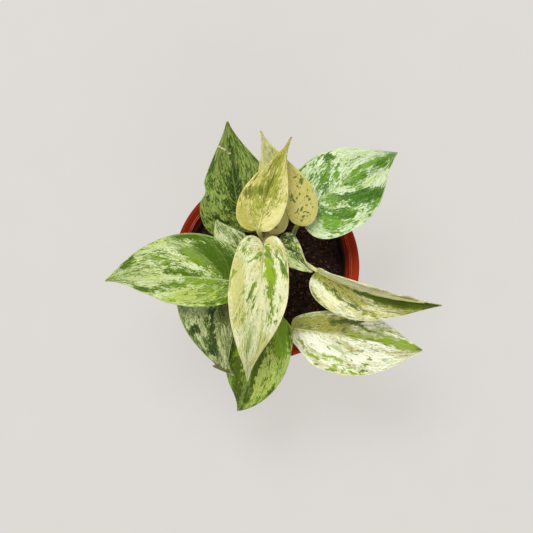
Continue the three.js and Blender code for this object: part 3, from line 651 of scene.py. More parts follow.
            (40, -50, 60, -60, 4, -1.6), (30, 55, 74, 50, 13, 9, 0.25), (51, 30, 56, 54, 1.2, 1, 1.2),
            (78, 72, 81, 86, 1.4, 1.6, 2.2),
        ),
    ),
    "leaf_young_left": dict(
        green=((30, -60, 80, -50, 2, 1.5, -0.6),),
    ),
    "leaf_young_right": dict(
        green=((30, -50, 80, -50, 4, 3, 0.5), (30, 60, 80, 50, 4, 3, -0.5)),
    ),
}

TONES = ("deep", "bright", "cream", "warm_and_shade", "film_and_sheen", "rib", "edge", "stalk", "stalk_streak")


# Small helpers

def cubic(a, b, c, d, t):
    m = 1 - t
    return m**3 * a + 3 * m * m * t * b + 3 * m * t * t * c + t**3 * d


def smooth(low, high, value):
    share = np.clip((value - low) / (high - low), 0, 1)
    return share * share * (3 - 2 * share)


def bump(value, width):
    """1 where the value is 0, and less and less beyond the width."""
    return np.exp(-((value / width) ** 2))


def unit(vectors):
    return vectors / np.maximum(np.linalg.norm(vectors, axis=-1, keepdims=True), 1e-12)


def clear_selection():
    if bpy.context.object and bpy.context.object.mode != "OBJECT":
        bpy.ops.object.mode_set(mode="OBJECT")
    bpy.ops.object.select_all(action="DESELECT")


def choose(piece):
    clear_selection()
    piece.select_set(True)
    bpy.context.view_layer.objects.active = piece


def new_piece(add, name, **values):
    """A new piece, made with one of the add tools."""
    clear_selection()
    add(**values)
    piece = bpy.context.object
    piece.name = name
    return piece


def delete(piece):
    choose(piece)
    bpy.ops.object.delete()


def modify(piece, kind, **values):
    """Gives a piece one modifier with these values, and applies it."""
    choose(piece)
    modifier = piece.modifiers.new(kind.lower(), kind)
    for name, value in values.items():
        setattr(modifier, name, value)
    bpy.ops.object.modifier_apply(modifier=modifier.name)


def positions(piece):
    found = np.empty(len(piece.data.vertices) * 3)
    piece.data.vertices.foreach_get("co", found)
    return found.reshape(-1, 3)


def place_points(piece, points):
    piece.data.vertices.foreach_set("co", np.asarray(points, dtype=float).ravel())
    piece.data.update()


def keep_values(piece, name, values):
    """Stores one number for each point of the mesh, for its material to read."""
    layer = piece.data.attributes.new(name, "FLOAT", "POINT")
    layer.data.foreach_set("value", np.asarray(values, dtype=np.float32).ravel())


def kept_values(piece, name):
    found = np.empty(len(piece.data.vertices), dtype=np.float32)
    piece.data.attributes[name].data.foreach_get("value", found)
    return found.astype(float)


def sheet(name, columns, rows, place):
    """A flat grid laid out by place(along, across): along runs 0 to 1, and across -1 to 1."""
    add = bpy.ops.mesh.primitive_grid_add
    piece = new_piece(add, name, x_subdivisions=columns, y_subdivisions=rows, size=1)
    flat = positions(piece)
    along = np.clip(flat[:, 1] + 0.5, 0, 1)
    across = np.clip(2 * flat[:, 0], -1, 1)
    keep_values(piece, "along", along)
    keep_values(piece, "across", across)
    place_points(piece, place(along, across))
    return piece


def close_ends(piece):
    choose(piece)
    bpy.ops.object.mode_set(mode="EDIT")
    bpy.ops.mesh.select_all(action="SELECT")
    bpy.ops.mesh.remove_doubles(threshold=1e-6)
    bpy.ops.mesh.fill_holes(sides=0)
    bpy.ops.mesh.normals_make_consistent(inside=False)
    bpy.ops.object.mode_set(mode="OBJECT")


def closed_sheet(name, columns, rows, place):
    """A sheet whose two sides meet and whose ends are closed: a tube or a round bed."""
    piece = sheet(name, columns, rows, place)
    turn = math.pi * kept_values(piece, "across")
    keep_values(piece, "turn_x", np.cos(turn))
    keep_values(piece, "turn_y", np.sin(turn))
    close_ends(piece)
    return piece


def steady(direction):
    """The side of a tube that faces the same way all along it."""
    return lambda share: np.tile(direction, (len(share), 1))


def tube(name, path, radius, sides, rows, up):
    """A closed tube: path(share) is its middle line, radius(share, turn) its form, and up(share) the
    side that faces turn 0."""
    step = 0.002

    def place(share, across):
        ahead = unit(path(np.minimum(share + step, 1)) - path(np.maximum(share - step, 0)))
        top = up(share)
        top = unit(top - (top * ahead).sum(-1, keepdims=True) * ahead)
        side = np.cross(ahead, top)
        turn = math.pi * across
        reach = radius(share, turn)[:, None]
        return path(share) + reach * (np.cos(turn)[:, None] * top - np.sin(turn)[:, None] * side)

    piece = closed_sheet(name, sides, rows, place)
    shade(piece, 50)
    return piece


def shade(piece, angle):
    choose(piece)
    bpy.ops.object.shade_smooth_by_angle(angle=radians(angle))


def join(pieces, name):
    choose(pieces[0])
    for piece in pieces[1:]:
        piece.select_set(True)
    bpy.ops.object.join()
    pieces[0].name = name
    return pieces[0]


def hand_over(piece, node):
    """The piece rides with the pot and stands for the solid of that name."""
    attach(piece, "root")
    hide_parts(node)


# Materials

def colour(red, green, blue):
    """A colour as it is seen on the screen, 0 to 255, as the light value that a shader takes."""
    def light(value):
        value /= 255
        return value / 12.92 if value <= 0.04045 else ((value + 0.055) / 1.055) ** 2.4
    return (light(red), light(green), light(blue), 1)


PAINT = {name: colour(*value) for name, value in PAINTS.items()}


def feed(tree, socket, item):
    """Sets a socket to a value, or links it to what another node gives."""
    if isinstance(item, bpy.types.NodeSocket):
        tree.links.new(item, socket)
    else:
        socket.default_value = item


def add_node(tree, kind, items, **values):
    """A new node. items go into its first sockets, in their order, and values are its settings."""
    node = tree.nodes.new("ShaderNode" + kind)
    for name, value in values.items():
        setattr(node, name, value)
    for socket, item in zip(node.inputs, items):
        feed(tree, socket, item)
    return node


def calc(tree, operation, *items):
    return add_node(tree, "Math", items, operation=operation).outputs[0]


def ramp(tree, low, high, item, start=0, end=1):
    """Runs smoothly from start to end while the item runs from low to high."""
    items = (item, low, high, start, end)
    return add_node(tree, "MapRange", items, interpolation_type="SMOOTHSTEP").outputs[0]


def vector(tree, x, y, z):
    return add_node(tree, "CombineXYZ", (x, y, z)).outputs[0]


def axes(tree, place):
    return add_node(tree, "SeparateXYZ", (place,)).outputs


def cloud(tree, where, scale, detail=2, roughness=0.5, distortion=0):
    node = add_node(tree, "TexNoise", (where,))
    settings = dict(Scale=scale, Detail=detail, Roughness=roughness, Distortion=distortion)
    for socket, value in settings.items():
        node.inputs[socket].default_value = value
    return node.outputs["Fac"]


def blend(tree, share, first, second):
    node = add_node(tree, "Mix", (share,), data_type="RGBA")
    feed(tree, node.inputs[6], first)
    feed(tree, node.inputs[7], second)
    return node.outputs[2]


def coat(tree, under, over, low, high, item, start=0, end=1):
    """One colour laid over another, more or less thickly while the item runs from low to high."""
    return blend(tree, ramp(tree, low, high, item, start, end), under, over)


def total(tree, start, *parts):
    """The start and each part by its share."""
    for part, share in parts:
        start = calc(tree, "MULTIPLY_ADD", part, share, start)
    return start


def stored(tree, name):
    return add_node(tree, "Attribute", (), attribute_name=name).outputs["Fac"]


def object_place(tree):
    return add_node(tree, "TexCoord", ()).outputs["Object"]


def relief(tree, height, distance):
    """The normals of a surface with fine unevenness."""
    node = add_node(tree, "Bump", ())
    node.inputs["Distance"].default_value = distance
    feed(tree, node.inputs["Height"], height)
    return node.outputs["Normal"]


def set_looks(material, **looks):
    """Sets sockets of the shader, each to a value or to what other nodes give."""
    tree = material.node_tree
    for socket, item in looks.items():
        feed(tree, tree.nodes["Principled BSDF"].inputs[socket.replace("_", " ")], item)
    return material


def surface(name, **looks):
    """A new material and its nodes, with the looks that are the same all over."""
    material = bpy.data.materials.new(name)
    material.use_nodes = True
    return set_looks(material, **looks), material.node_tree


# Blades. s runs round each lobe and out to the tip, 0 to 1, and t across, -1 at the left margin to 1
# at the right one, so that a line of one s is a side vein.

def edge_change(leaf, side, s, change):
    amounts = np.zeros_like(s)
    for edge in leaf.get("edges", ()):
        share = bump(s - edge["place"], edge["spread"])
        amounts += np.where(side == edge["side"], edge[change] * share, 0)
    return amounts


def margin_point(leaf, s, side):
    size = leaf["length"]
    back = leaf["lobes"] / size
    widest = leaf["widest"]
    wide = np.where(side < 0, leaf["left"], leaf["right"]) / size
    full = np.where(side < 0, leaf["tip_left"], leaf["tip_right"])
    a = np.minimum(s / LOBE_SHARE, 1)
    b = np.maximum((s - LOBE_SHARE) / (1 - LOBE_SHARE), 0)
    lobe = s < LOBE_SHARE
    round_x = cubic(-LOBE_BACK[0] * back, -LOBE_BACK[1] * back, -back, widest, a)
    round_y = cubic(NOTCH_HALF / size, LOBE_WIDE[0] * wide, LOBE_WIDE[1] * wide, wide, a)
    x = np.where(lobe, round_x, cubic(widest, widest + TIP_REACH[0], TIP_REACH[1], 1, b))
    y = np.where(lobe, round_y, cubic(wide, wide, wide * full, TIP_HALF / size, b))
    return x, y + edge_change(leaf, side, s, "widen") / size


def flat_place(leaf, s, t):
    """A place on the blade as if it were pressed flat: x along the midrib and y to the left."""
    u = np.abs(t)
    side = np.where(t < 0, -1, 1)
    margin_x, margin_y = margin_point(leaf, s, side)
    branch = np.maximum((s - VEIN_START) / (1 - VEIN_START), 0) ** VEIN_CURVE
    root = VEIN_CREEP * s + (1 - VEIN_CREEP) * branch
    x = (root + (margin_x - root) * u**MARGIN_CURVE) * leaf["length"]
    return np.stack([x, -side * margin_y * u * leaf["length"]], axis=-1)


def blade_surface(leaf, s, t):
    """A place on the grown blade: folded, cupped, waved, rolled and bent down along its length."""
    size = leaf["length"]
    side = np.where(t < 0, -1, 1)
    u = np.abs(t)
    flat = flat_place(leaf, s, t)
    x, y = flat[..., 0], flat[..., 1]
    fold = radians(leaf["fold"])
    soft = FOLD_SOFT * size
    up = (np.sqrt(y * y + soft * soft) - soft) * math.sin(fold)
    up -= leaf["cup"] * y * y / (CUP_SPAN * size)
    turn = leaf["waves"] * s + leaf["phase"] + np.where(side < 0, 0, WAVE_SHIFT)
    up += leaf["wave"] * u * u * np.sin(2 * math.pi * turn)
    up -= edge_change(leaf, side, s, "drop") * smooth(EDGE_CREASE, 1, u)
    across = y * math.cos(fold) + leaf["sweep"] * size * np.maximum(x / size, 0) ** 2
    roll = np.radians(leaf["roll"] + leaf["twist"] * np.clip(x / size, -0.2, 1))
    across, up = (
        across * np.cos(roll) - up * np.sin(roll),
        across * np.sin(roll) + up * np.cos(roll),
    )
    pitch = radians(leaf["pitch"])
    bend = radians(leaf["droop"]) / size
    slope = pitch - bend * x
    forward = (math.sin(pitch) - np.sin(slope)) / bend - up * np.sin(slope)
    rise = (np.cos(slope) - math.cos(pitch)) / bend + up * np.cos(slope)
    heading = radians(leaf["heading"])
    base = leaf["base"]
    return np.stack([
        base[0] + forward * math.cos(heading) - across * math.sin(heading),
        base[1] + forward * math.sin(heading) + across * math.cos(heading),
        base[2] + rise,
    ], axis=-1)


def blade_normals(leaf, s, t):
    ahead = blade_surface(leaf, np.clip(s + NORMAL_STEP, 0, 1), t)
    behind = blade_surface(leaf, np.clip(s - NORMAL_STEP, 0, 1), t)
    right = blade_surface(leaf, s, np.clip(t + NORMAL_STEP, -1, 1))
    left = blade_surface(leaf, s, np.clip(t - NORMAL_STEP, -1, 1))
    return unit(np.cross(right - left, ahead - behind))


def vein_place(s, t):
    """One number for each side vein and what runs beside it: veins sweep forward to the margin."""
    return s * (1 - VEIN_SWEEP * np.abs(t))


def fine_form(leaf, s, t):
    """How far the surface stands out from the plain blade: sunk veins with the blade puffed between
    them, a sunk midrib, and a margin that turns down and ripples."""
    u = np.abs(t)
    scale = min(leaf["length"] / FULL_LENGTH, 1)
    vein = (vein_place(s, t) * SIDE_VEINS + leaf["phase"] + np.where(t < 0, 0, 0.5)) % 1 - 0.5
    inside = smooth(*PUFF_INNER, u) * (1 - smooth(*PUFF_OUTER, u)) * (1 - smooth(*PUFF_TIP, s))
    height = -inside * scale * PUFF * (1 - np.sin(math.pi * np.abs(vein)))
    height -= inside * scale * VEIN_GROOVE * bump(vein, VEIN_WIDTH)
    half_width = np.where(t < 0, leaf["left"], leaf["right"])
    height -= RIB_GROOVE * scale * bump(u * half_width, RIB_HALF) * (1 - RIB_THINNING * s)
    height -= MARGIN_TURN * scale * smooth(*MARGIN_RANGE, u) * (1 - smooth(*MARGIN_TIP, s))
    turn = 2 * math.pi * (s + leaf["phase"])
    ripple = np.sin(3.1 * turn + 3 * t) + 0.5 * np.sin(5.7 * turn - 2 * t)
    waved = smooth(*RIPPLE_BASE, s) * (1 - smooth(*RIPPLE_TIP, s))
    return height + RIPPLE * scale * u**3 * ripple * waved


def frayed(places, seed):
    """Places on a pressed blade, each moved a little, so that strokes get uneven edges."""
    moved = places.copy()
    for axis in range(2):
        for size, reach in FRAYS:
            shift = [noise.noise((x / size, y / size, seed + 5 * axis)) for x, y in places]
            moved[:, axis] += reach * size * np.array(shift)
    return moved


def painted(leaf, strokes, here):
    """The sum of the strokes at each place of a pressed blade."""
    amounts = np.zeros(len(here))
    for from_s, from_t, to_s, to_t, *widths, amount in strokes:
        ends = np.array([(from_s, to_s), (from_t, to_t)]) / 100
        start, end = flat_place(leaf, *ends)
        run = end - start
        share = np.clip((here - start) @ run / max(run @ run, 1e-9), 0, 1)
        off = np.linalg.norm(here - start - share[:, None] * run, axis=-1)
        width = widths[0] + (widths[-1] - widths[0]) * share
        amounts += amount * bump(off, width / MILLIMETRES)
    return amounts


def tones(looks):
    return {key: colour(*looks[key]) for key in TONES}


def leaf_noises(tree, leaf, looks, u, right, by_vein):
    """The layers of noise behind the marbling. They run with the side veins, and each half of a
    blade has its own."""
    half = calc(tree, "MULTIPLY_ADD", right, 10, looks["seed"])
    bend = vector(tree, calc(tree, "MULTIPLY", by_vein, 14), calc(tree, "MULTIPLY", u, 5), half)
    wavy = calc(tree, "MULTIPLY_ADD", cloud(tree, bend, 1, 1), 0.045, by_vein)
    size = leaf["length"] / FULL_LENGTH
    layers = {}
    for name, (across_veins, along_veins, shift, *kind) in LEAF_NOISES.items():
        where = vector(
            tree, calc(tree, "MULTIPLY", wavy, across_veins * size),
            calc(tree, "MULTIPLY", u, along_veins * size), calc(tree, "ADD", half, shift),
        )
        layers[name] = calc(tree, "SUBTRACT", cloud(tree, where, 1, *kind), 0.5)
    return layers


def marbling(tree, looks, tone, layers):
    """Green on cream, each in two colours, with a milky film, fine dark specks and fine pale ones.
    Where the strokes put them, the warmer cream also holds painted shade, and the milky film painted
    sheen, painted highlights and painted light shining through the leaf.
    """
    def amount(kind, start=0):
        parts = [(layers[name], share) for name, share in NOISE_SHARES[kind].items()]
        return total(tree, calc(tree, "ADD", stored(tree, kind), start), *parts)

    green_amount = amount("green", looks["share"])
    haze = ramp(tree, -0.8, 0.8, green_amount, end=0.34)
    greenness = calc(tree, "MULTIPLY_ADD", ramp(tree, -0.07, 0.07, green_amount), 0.66, haze)
    green = coat(tree, tone["bright"], tone["deep"], -0.6, 0.6, amount("deep"))
    # Cream warmed in places; on some leaves the warm colour is painted shade.
    cream = coat(tree, tone["cream"], tone["warm_and_shade"], -0.6, 0.7, amount("warm_and_shade"))
    skin = blend(tree, greenness, cream, green)
    # A milky film, which on some leaves is painted sheen, painted highlights and painted light through
    # the leaf.
    skin = coat(tree, skin, tone["film_and_sheen"], 0.1, 0.7, amount("milk_and_sheen"), end=0.5)
    dark, most = (tone["bright"], 0.3) if looks["cream_leaf"] else (tone["deep"], 0.55)
    skin = coat(tree, skin, dark, 0, 0.2, layers["grain"], end=most)
    pale_most = ramp(tree, 0.4, 1.8, green_amount, start=0.5, end=0.125)
    paler = calc(tree, "MULTIPLY", ramp(tree, 0.03, 0.22, layers["pale"]), pale_most)
    return blend(tree, paler, skin, tone["cream"])


def veins_and_edges(tree, leaf, tone, skin, u, right, by_vein):
    """Pale side veins, a pale midrib and margin, a dry tip and the scars."""
    stagger = calc(tree, "MULTIPLY_ADD", right, 0.5, leaf["phase"])
    vein = calc(tree, "FRACT", calc(tree, "MULTIPLY_ADD", by_vein, SIDE_VEINS, stagger))
    off_vein = calc(tree, "ABSOLUTE", calc(tree, "SUBTRACT", vein, 0.5))
    skin = coat(tree, skin, tone["rib"], 0, 0.1, off_vein, start=0.15, end=0)
    skin = coat(tree, skin, tone["rib"], 0.01, 0.04, u, start=0.6, end=0)
    skin = coat(tree, skin, tone["edge"], 0.955, 0.985, u, end=0.5)
    skin = coat(tree, skin, PAINT["leaf_tip"], 0.98, 1, stored(tree, "along"), end=0.6)
    return coat(tree, skin, PAINT["leaf_scar"], 0.3, 0.6, stored(tree, "scar"))


def leaf_material(name, leaf, looks, under):
    material, tree = surface(
        name, Roughness=0.62 if under else 0.36, Specular_IOR_Level=0.14,
        Subsurface_Weight=0.15, Subsurface_Scale=0.0012, Subsurface_Radius=(0.9, 1, 0.25),
    )
    tone = tones(looks)
    t = stored(tree, "across")
    u = calc(tree, "ABSOLUTE", t)
    right = calc(tree, "GREATER_THAN", t, 0)
    forward = calc(tree, "MULTIPLY_ADD", u, -VEIN_SWEEP, 1)
    by_vein = calc(tree, "MULTIPLY", stored(tree, "along"), forward)
    layers = leaf_noises(tree, leaf, looks, u, right, by_vein)
    skin = marbling(tree, looks, tone, layers)
    skin = veins_and_edges(tree, leaf, tone, skin, u, right, by_vein)
    if under:
        skin = blend(tree, 0.35, skin, PAINT["leaf_under"])
    pebbles = cloud(tree, object_place(tree), 620, 2, 0.5)
    height = total(tree, layers["streaks"], (layers["flecks"], 0.8), (pebbles, 1.6))
    return set_looks(material, Base_Color=skin, Normal=relief(tree, height, 0.0004))


def make_blade(name, leaf, looks, strokes):
    share = SMALL_SHARE if leaf["length"] < SMALL_LEAF else 1

    def place(s, t):
        stand = fine_form(leaf, s, t)[:, None] * blade_normals(leaf, s, t)
        return blade_surface(leaf, s, t) + stand

    blade = sheet(name, round(BLADE_COLUMNS * share), round(BLADE_ROWS * share), place)
    pressed = flat_place(leaf, kept_values(blade, "along"), kept_values(blade, "across"))
    ragged = frayed(pressed, looks["seed"])
    for kind in ("green", "deep", "warm_and_shade", "milk_and_sheen", "scar"):
        here = pressed if kind == "scar" else ragged
        keep_values(blade, kind, painted(leaf, strokes.get(kind, ()), here))
    blade.data.materials.append(leaf_material(name + "_top", leaf, looks, under=False))
    blade.data.materials.append(leaf_material(name + "_under", leaf, looks, under=True))
    modify(blade, "SOLIDIFY", thickness=BLADE_THICK, offset=0, material_offset=1)
    shade(blade, 50)
    return blade


# Stalks and vines

def vine_axis(vine, z):
    """The middle line of a vine at each height."""
    share = np.clip((z - SOIL_LEVEL) / (vine["top"][2] - SOIL_LEVEL), 0, 1)
    bend = smooth(0, 1, share)
    bow = np.sin(math.pi * share)
    ways = zip(vine["foot"], vine["top"], vine["sway"])
    x, y = (foot + (top - foot) * bend + bow * sway for foot, top, sway in ways)
    return np.stack([x, y, z], axis=-1)


def stalk_path(leaf):
    """The middle line of a stalk, from inside its vine up to the blade and on under the midrib, and
    the side of it that faces up."""
    start = vine_axis(VINES[leaf["vine"]], np.array([leaf["node"]]))[0]
    zero = np.zeros(1)
    blade_up = blade_normals(leaf, zero + 0.02, zero)[0]
    end = blade_surface(leaf, zero, zero)[0] - STALK_TOP_DEPTH * blade_up
    reach = np.linalg.norm(end - start)
    leave, lean = radians(leaf["leave"]), radians(leaf["lean"])
    away = np.array([math.cos(leave), math.sin(leave), 0])
    out = math.sin(lean) * away + np.array([0, 0, math.cos(lean)])
    heading, rise = radians(leaf["heading"]), radians(leaf["pitch"] + leaf["arrive"])
    arrive = np.array([
        math.cos(heading) * math.cos(rise), math.sin(heading) * math.cos(rise), math.sin(rise),
    ])
    second = start + out * STALK_LEAVE * reach
    third = end - arrive * STALK_ARRIVE * reach

    def line(share):
        a = np.minimum(share / STALK_SHARE, 1)[:, None]
        free = cubic(start, second, third, end, a)
        s = UNDER_RIB_END * np.maximum((share - STALK_SHARE) / (1 - STALK_SHARE), 0)
        depth = STALK_TOP_DEPTH + (UNDER_RIB_DEPTH - STALK_TOP_DEPTH) * s[:, None]
        down = depth * blade_normals(leaf, np.maximum(s, 0.02), 0 * s)
        return np.where(share[:, None] < STALK_SHARE, free, blade_surface(leaf, s, 0 * s) - down)

    def up(share):
        turned = smooth(0.3 * STALK_SHARE, STALK_SHARE, share)[:, None]
        return unit((1 - turned) * (np.array([0, 0, 0.4]) - away) + turned * blade_up)

    return line, up


def stalk_radius(share, turn):
    """Round below and hollowed above, with a thin wing on each side of the hollow lower down."""
    free = np.clip(share / STALK_SHARE, 0, 1)
    radius = STALK_TOP_RADIUS + (SHEATH_RADIUS - STALK_TOP_RADIUS) * (1 - free) ** 2
    under = smooth(STALK_SHARE, 1, share)
    radius += (UNDER_RIB_RADIUS - STALK_TOP_RADIUS) * under
    hollow = STALK_HOLLOW * bump(turn, 0.45)
    wings = STALK_WINGS * bump(np.abs(turn) - 0.85, 0.24) * (1 - smooth(0.6, 0.98, free))
    return radius * (1 + (1 - under) * (wings - hollow))


def stalk_material(name, looks):
    material, tree = surface(name, Roughness=0.42, Subsurface_Weight=0.15, Subsurface_Scale=0.001)
    tone = tones(looks)
    along = stored(tree, "along")
    rise = calc(tree, "MULTIPLY_ADD", along, 5, looks["seed"])
    where = vector(tree, stored(tree, "turn_x"), stored(tree, "turn_y"), rise)
    streaks = cloud(tree, where, 2.6, 3, 0.6)
    skin = coat(tree, tone["stalk"], tone["stalk_streak"], 0.42, 0.6, streaks)
    skin = coat(tree, skin, PAINT["sheath"], 0, 0.12, along, start=0.6, end=0)
    return set_looks(material, Base_Color=skin, Normal=relief(tree, streaks, 0.0003))


def make_leaf(name, leaf, looks, strokes):
    blade = make_blade(name + "_blade", leaf, looks, strokes)
    line, up = stalk_path(leaf)
    stalk = tube(name + "_stalk", line, stalk_radius, STALK_SIDES, STALK_ROWS, up)
    stalk.data.materials.append(stalk_material(name + "_stalk", looks))
    leaf_piece = join([blade, stalk], name + "_detailed")
    hand_over(leaf_piece, name)


def vine_material(name, seed):
    material, tree = surface(name, Roughness=0.55)
    place = object_place(tree)
    patches = cloud(tree, place, 160, 4, 0.6)
    fine = cloud(tree, place, 900 + seed, 3, 0.6)
    skin = coat(tree, PAINT["vine"], PAINT["vine_patch"], 0.4, 0.62, patches)
    skin = coat(tree, skin, PAINT["vine_node"], 0.2, 0.8, stored(tree, "node"))
    skin = coat(tree, skin, PAINT["vine_speck"], 0.55, 0.68, fine, end=0.4)
    uneven = relief(tree, calc(tree, "ADD", patches, fine), 0.0004)
    return set_looks(material, Base_Color=skin, Normal=uneven)


def make_vine(name, vine, seed):
    low = SOIL_LEVEL - VINE_ROOT_DEPTH
    high = vine["top"][2]

    def line(share):
        return vine_axis(vine, low + (high - low) * share)

    def swell(z, length):
        return sum(bump(z - node, length) for node in vine["nodes"])

    def radius(share, turn):
        z = low + (high - low) * share
        rings = NODE_RING * swell(z - NODE_RING_RISE, NODE_RING_LENGTH)
        rings = rings - NODE_CREASE * swell(z + NODE_CREASE_DROP, NODE_RING_LENGTH)
        ridges = VINE_RIDGE_HEIGHT * np.sin(VINE_RIDGES * turn + 3 * share)
        plain = vine["radius"] * (1 + (VINE_TAPER - 1) * share)
        return (plain + NODE_SWELL * swell(z, NODE_LENGTH) + rings + ridges) * end_round(share)

    def end_round(share):
        past = np.maximum(share - VINE_END_SHARE, 0)
        return np.sqrt(np.clip(1 - (past / VINE_END_ROUND) ** 2, 0.02, 1))

    stem = tube(name + "_stem", line, radius, VINE_SIDES, VINE_ROWS, steady((1.0, 0, 0)))
    stain = swell(positions(stem)[:, 2] - NODE_STAIN_RISE, NODE_STAIN_LENGTH)
    keep_values(stem, "node", np.minimum(stain, 1))
    stem.data.materials.append(vine_material(name, seed))
    draw = random.Random(seed)
    nubs = [aerial_root(name, vine, node, draw) for node in vine["nodes"][:-1]]
    stem = join([stem, *nubs], name + "_detailed")
    hand_over(stem, name)


def aerial_root(name, vine, node, draw):
    """A short brown root tip at a node, pointing away from the vine and a little down."""
    start = vine_axis(vine, np.array([node - NUB_DROP]))[0]
    turn = draw.uniform(0, 2 * math.pi)
    out = np.array([math.cos(turn), math.sin(turn), 0])
    length = vine["radius"] + draw.uniform(*NUB_LENGTHS)
    down = NUB_DROOP * np.array([0, 0, 1])

    def line(share):
        return start + share[:, None] * length * out - (share[:, None] ** 2) * down

    def radius(share, turn):
        return NUB_RADIUS * np.sqrt(np.clip(1 - share**2.2, 0.03, 1))

    nub = tube(name + "_root", line, radius, NUB_SIDES, NUB_ROWS, steady((0, 0, 1.0)))
    keep_values(nub, "node", np.ones(len(nub.data.vertices)))
    return nub


# Pot

def wall_radius(z):
    return FOOT_RADIUS + (WALL_TOP_RADIUS - FOOT_RADIUS) * z / POT_HEIGHT


def arc(centre, radius, start, end, steps=6):
    """Points of a round edge, from start to end degrees."""
    turns = [radians(start + (end - start) * i / steps) for i in range(steps + 1)]
    return [(centre[0] + radius * math.cos(a), centre[1] + radius * math.sin(a)) for a in turns]


def pot_profile():
    """The pot's outline: out along the foot, up the wall, round the lip and down again inside."""
    lip_inner = LIP_RADIUS - LIP_TOP_WIDTH
    face = lip_inner - LIP_DRAFT
    ledge = POT_HEIGHT - LEDGE_DEPTH
    skirt_foot = POT_HEIGHT - LIP_HEIGHT
    under_lip = POT_HEIGHT - WALL
    dish = POT_HEIGHT - LIP_DISH
    foot_in = FOOT_RADIUS - FOOT_ROUND
    inner = wall_radius(ledge) - WALL
    profile = [(radius, 0) for radius in (*FLOOR_RADII, foot_in - FOOT_SEAT)]
    profile += arc((foot_in, FOOT_ROUND), FOOT_ROUND, -90, 0)
    profile += [(wall_radius(z) - sunk, z) for z, sunk in WALL_RINGS]
    profile += [(wall_radius(ledge - WALL), ledge - WALL), (face + WALL, ledge)]
    profile += [(lip_inner + WALL, under_lip), (LIP_RADIUS - LIP_SKIRT, under_lip)]
    profile += [(LIP_RADIUS - inward, skirt_foot + up) for inward, up in SKIRT_RINGS]
    profile += arc((LIP_RADIUS - LIP_ROUND, POT_HEIGHT - LIP_ROUND), LIP_ROUND, 0, 90, 8)
    profile += [(LIP_RADIUS - DISH_IN, POT_HEIGHT - DISH_DOWN)]
    profile += [(lip_inner + out, dish + up) for out, up in BEAD_RINGS]
    profile += arc((lip_inner + BEAD_ROUND, dish + BEAD_RISE), BEAD_ROUND, 90, 180, 3)
    profile += [(face, ledge + LEDGE_FALL), (face - LEDGE_ROUND, ledge)]
    profile += [(inner + LEDGE_ROUND, ledge - LEDGE_FALL * LEDGE_SHOULDER)]
    profile += [(inner, ledge - LEDGE_FALL - LEDGE_ROUND)]
    profile += [(wall_radius(z) - WALL, z) for z in (*INNER_HEIGHTS, WALL + FOOT_ROUND)]
    profile += [(foot_in - WALL, WALL), (FLOOR_RADII[0], WALL)]
    return profile


def turned(name, profile, sides):
    """A round piece: one ring is drawn out from the last along the profile, and both ends close."""
    radius, height = profile[0]
    add = bpy.ops.mesh.primitive_circle_add
    piece = new_piece(add, name, vertices=sides, radius=radius, location=(0, 0, height))
    bpy.ops.object.transform_apply(location=True)
    bpy.ops.object.mode_set(mode="EDIT")
    bpy.ops.mesh.select_all(action="SELECT")
    for next_radius, next_height in profile[1:]:
        rise = (0, 0, next_height - height)
        bpy.ops.mesh.extrude_region_move(TRANSFORM_OT_translate={"value": rise})
        grow = next_radius / radius
        bpy.ops.transform.resize(value=(grow, grow, 1))
        radius, height = next_radius, next_height
    close_ends(piece)
    return piece


def round_place(tree, place):
    """The distance from the middle of the pot, and the height."""
    x, y, z = axes(tree, place)
    squares = calc(tree, "ADD", calc(tree, "MULTIPLY", x, x), calc(tree, "MULTIPLY", y, y))
    return calc(tree, "SQRT", squares), z


def bead_highlights(tree, place, scuffs):
    """Where the two beads inside the lip get painted highlights, broken up by the scuffs."""
    radius, z = round_place(tree, place)
    lip_inner = LIP_RADIUS - LIP_TOP_WIDTH
    off = [calc(tree, "ABSOLUTE", calc(tree, "SUBTRACT", radius, lip_inner + out)) for out in BEADS]
    line = ramp(tree, *BEAD_HIGHLIGHT_WIDTH, calc(tree, "MINIMUM", *off), start=1, end=0)
    low, high = (POT_HEIGHT - depth for depth in BEAD_HIGHLIGHT_DEPTH)
    line = calc(tree, "MULTIPLY", line, ramp(tree, low, high, z))
    return calc(tree, "MULTIPLY", line, ramp(tree, 0.3, 0.6, scuffs))


def soil_marks(tree, place, mottle, grain):
    """Where the inside of the pot is stained by soil: below the ledge and a little way up."""
    radius, z = round_place(tree, place)
    ragged = calc(tree, "MULTIPLY_ADD", calc(tree, "SUBTRACT", mottle, 0.5), 0.004, radius)
    ragged = calc(tree, "MULTIPLY_ADD", calc(tree, "SUBTRACT", grain, 0.5), 0.003, ragged)
    inside = ramp(tree, STAIN_EDGE, STAIN_EDGE + STAIN_FADE, ragged, start=1, end=0)
    return calc(tree, "MULTIPLY", inside, ramp(tree, *STAIN_BOTTOM, z))


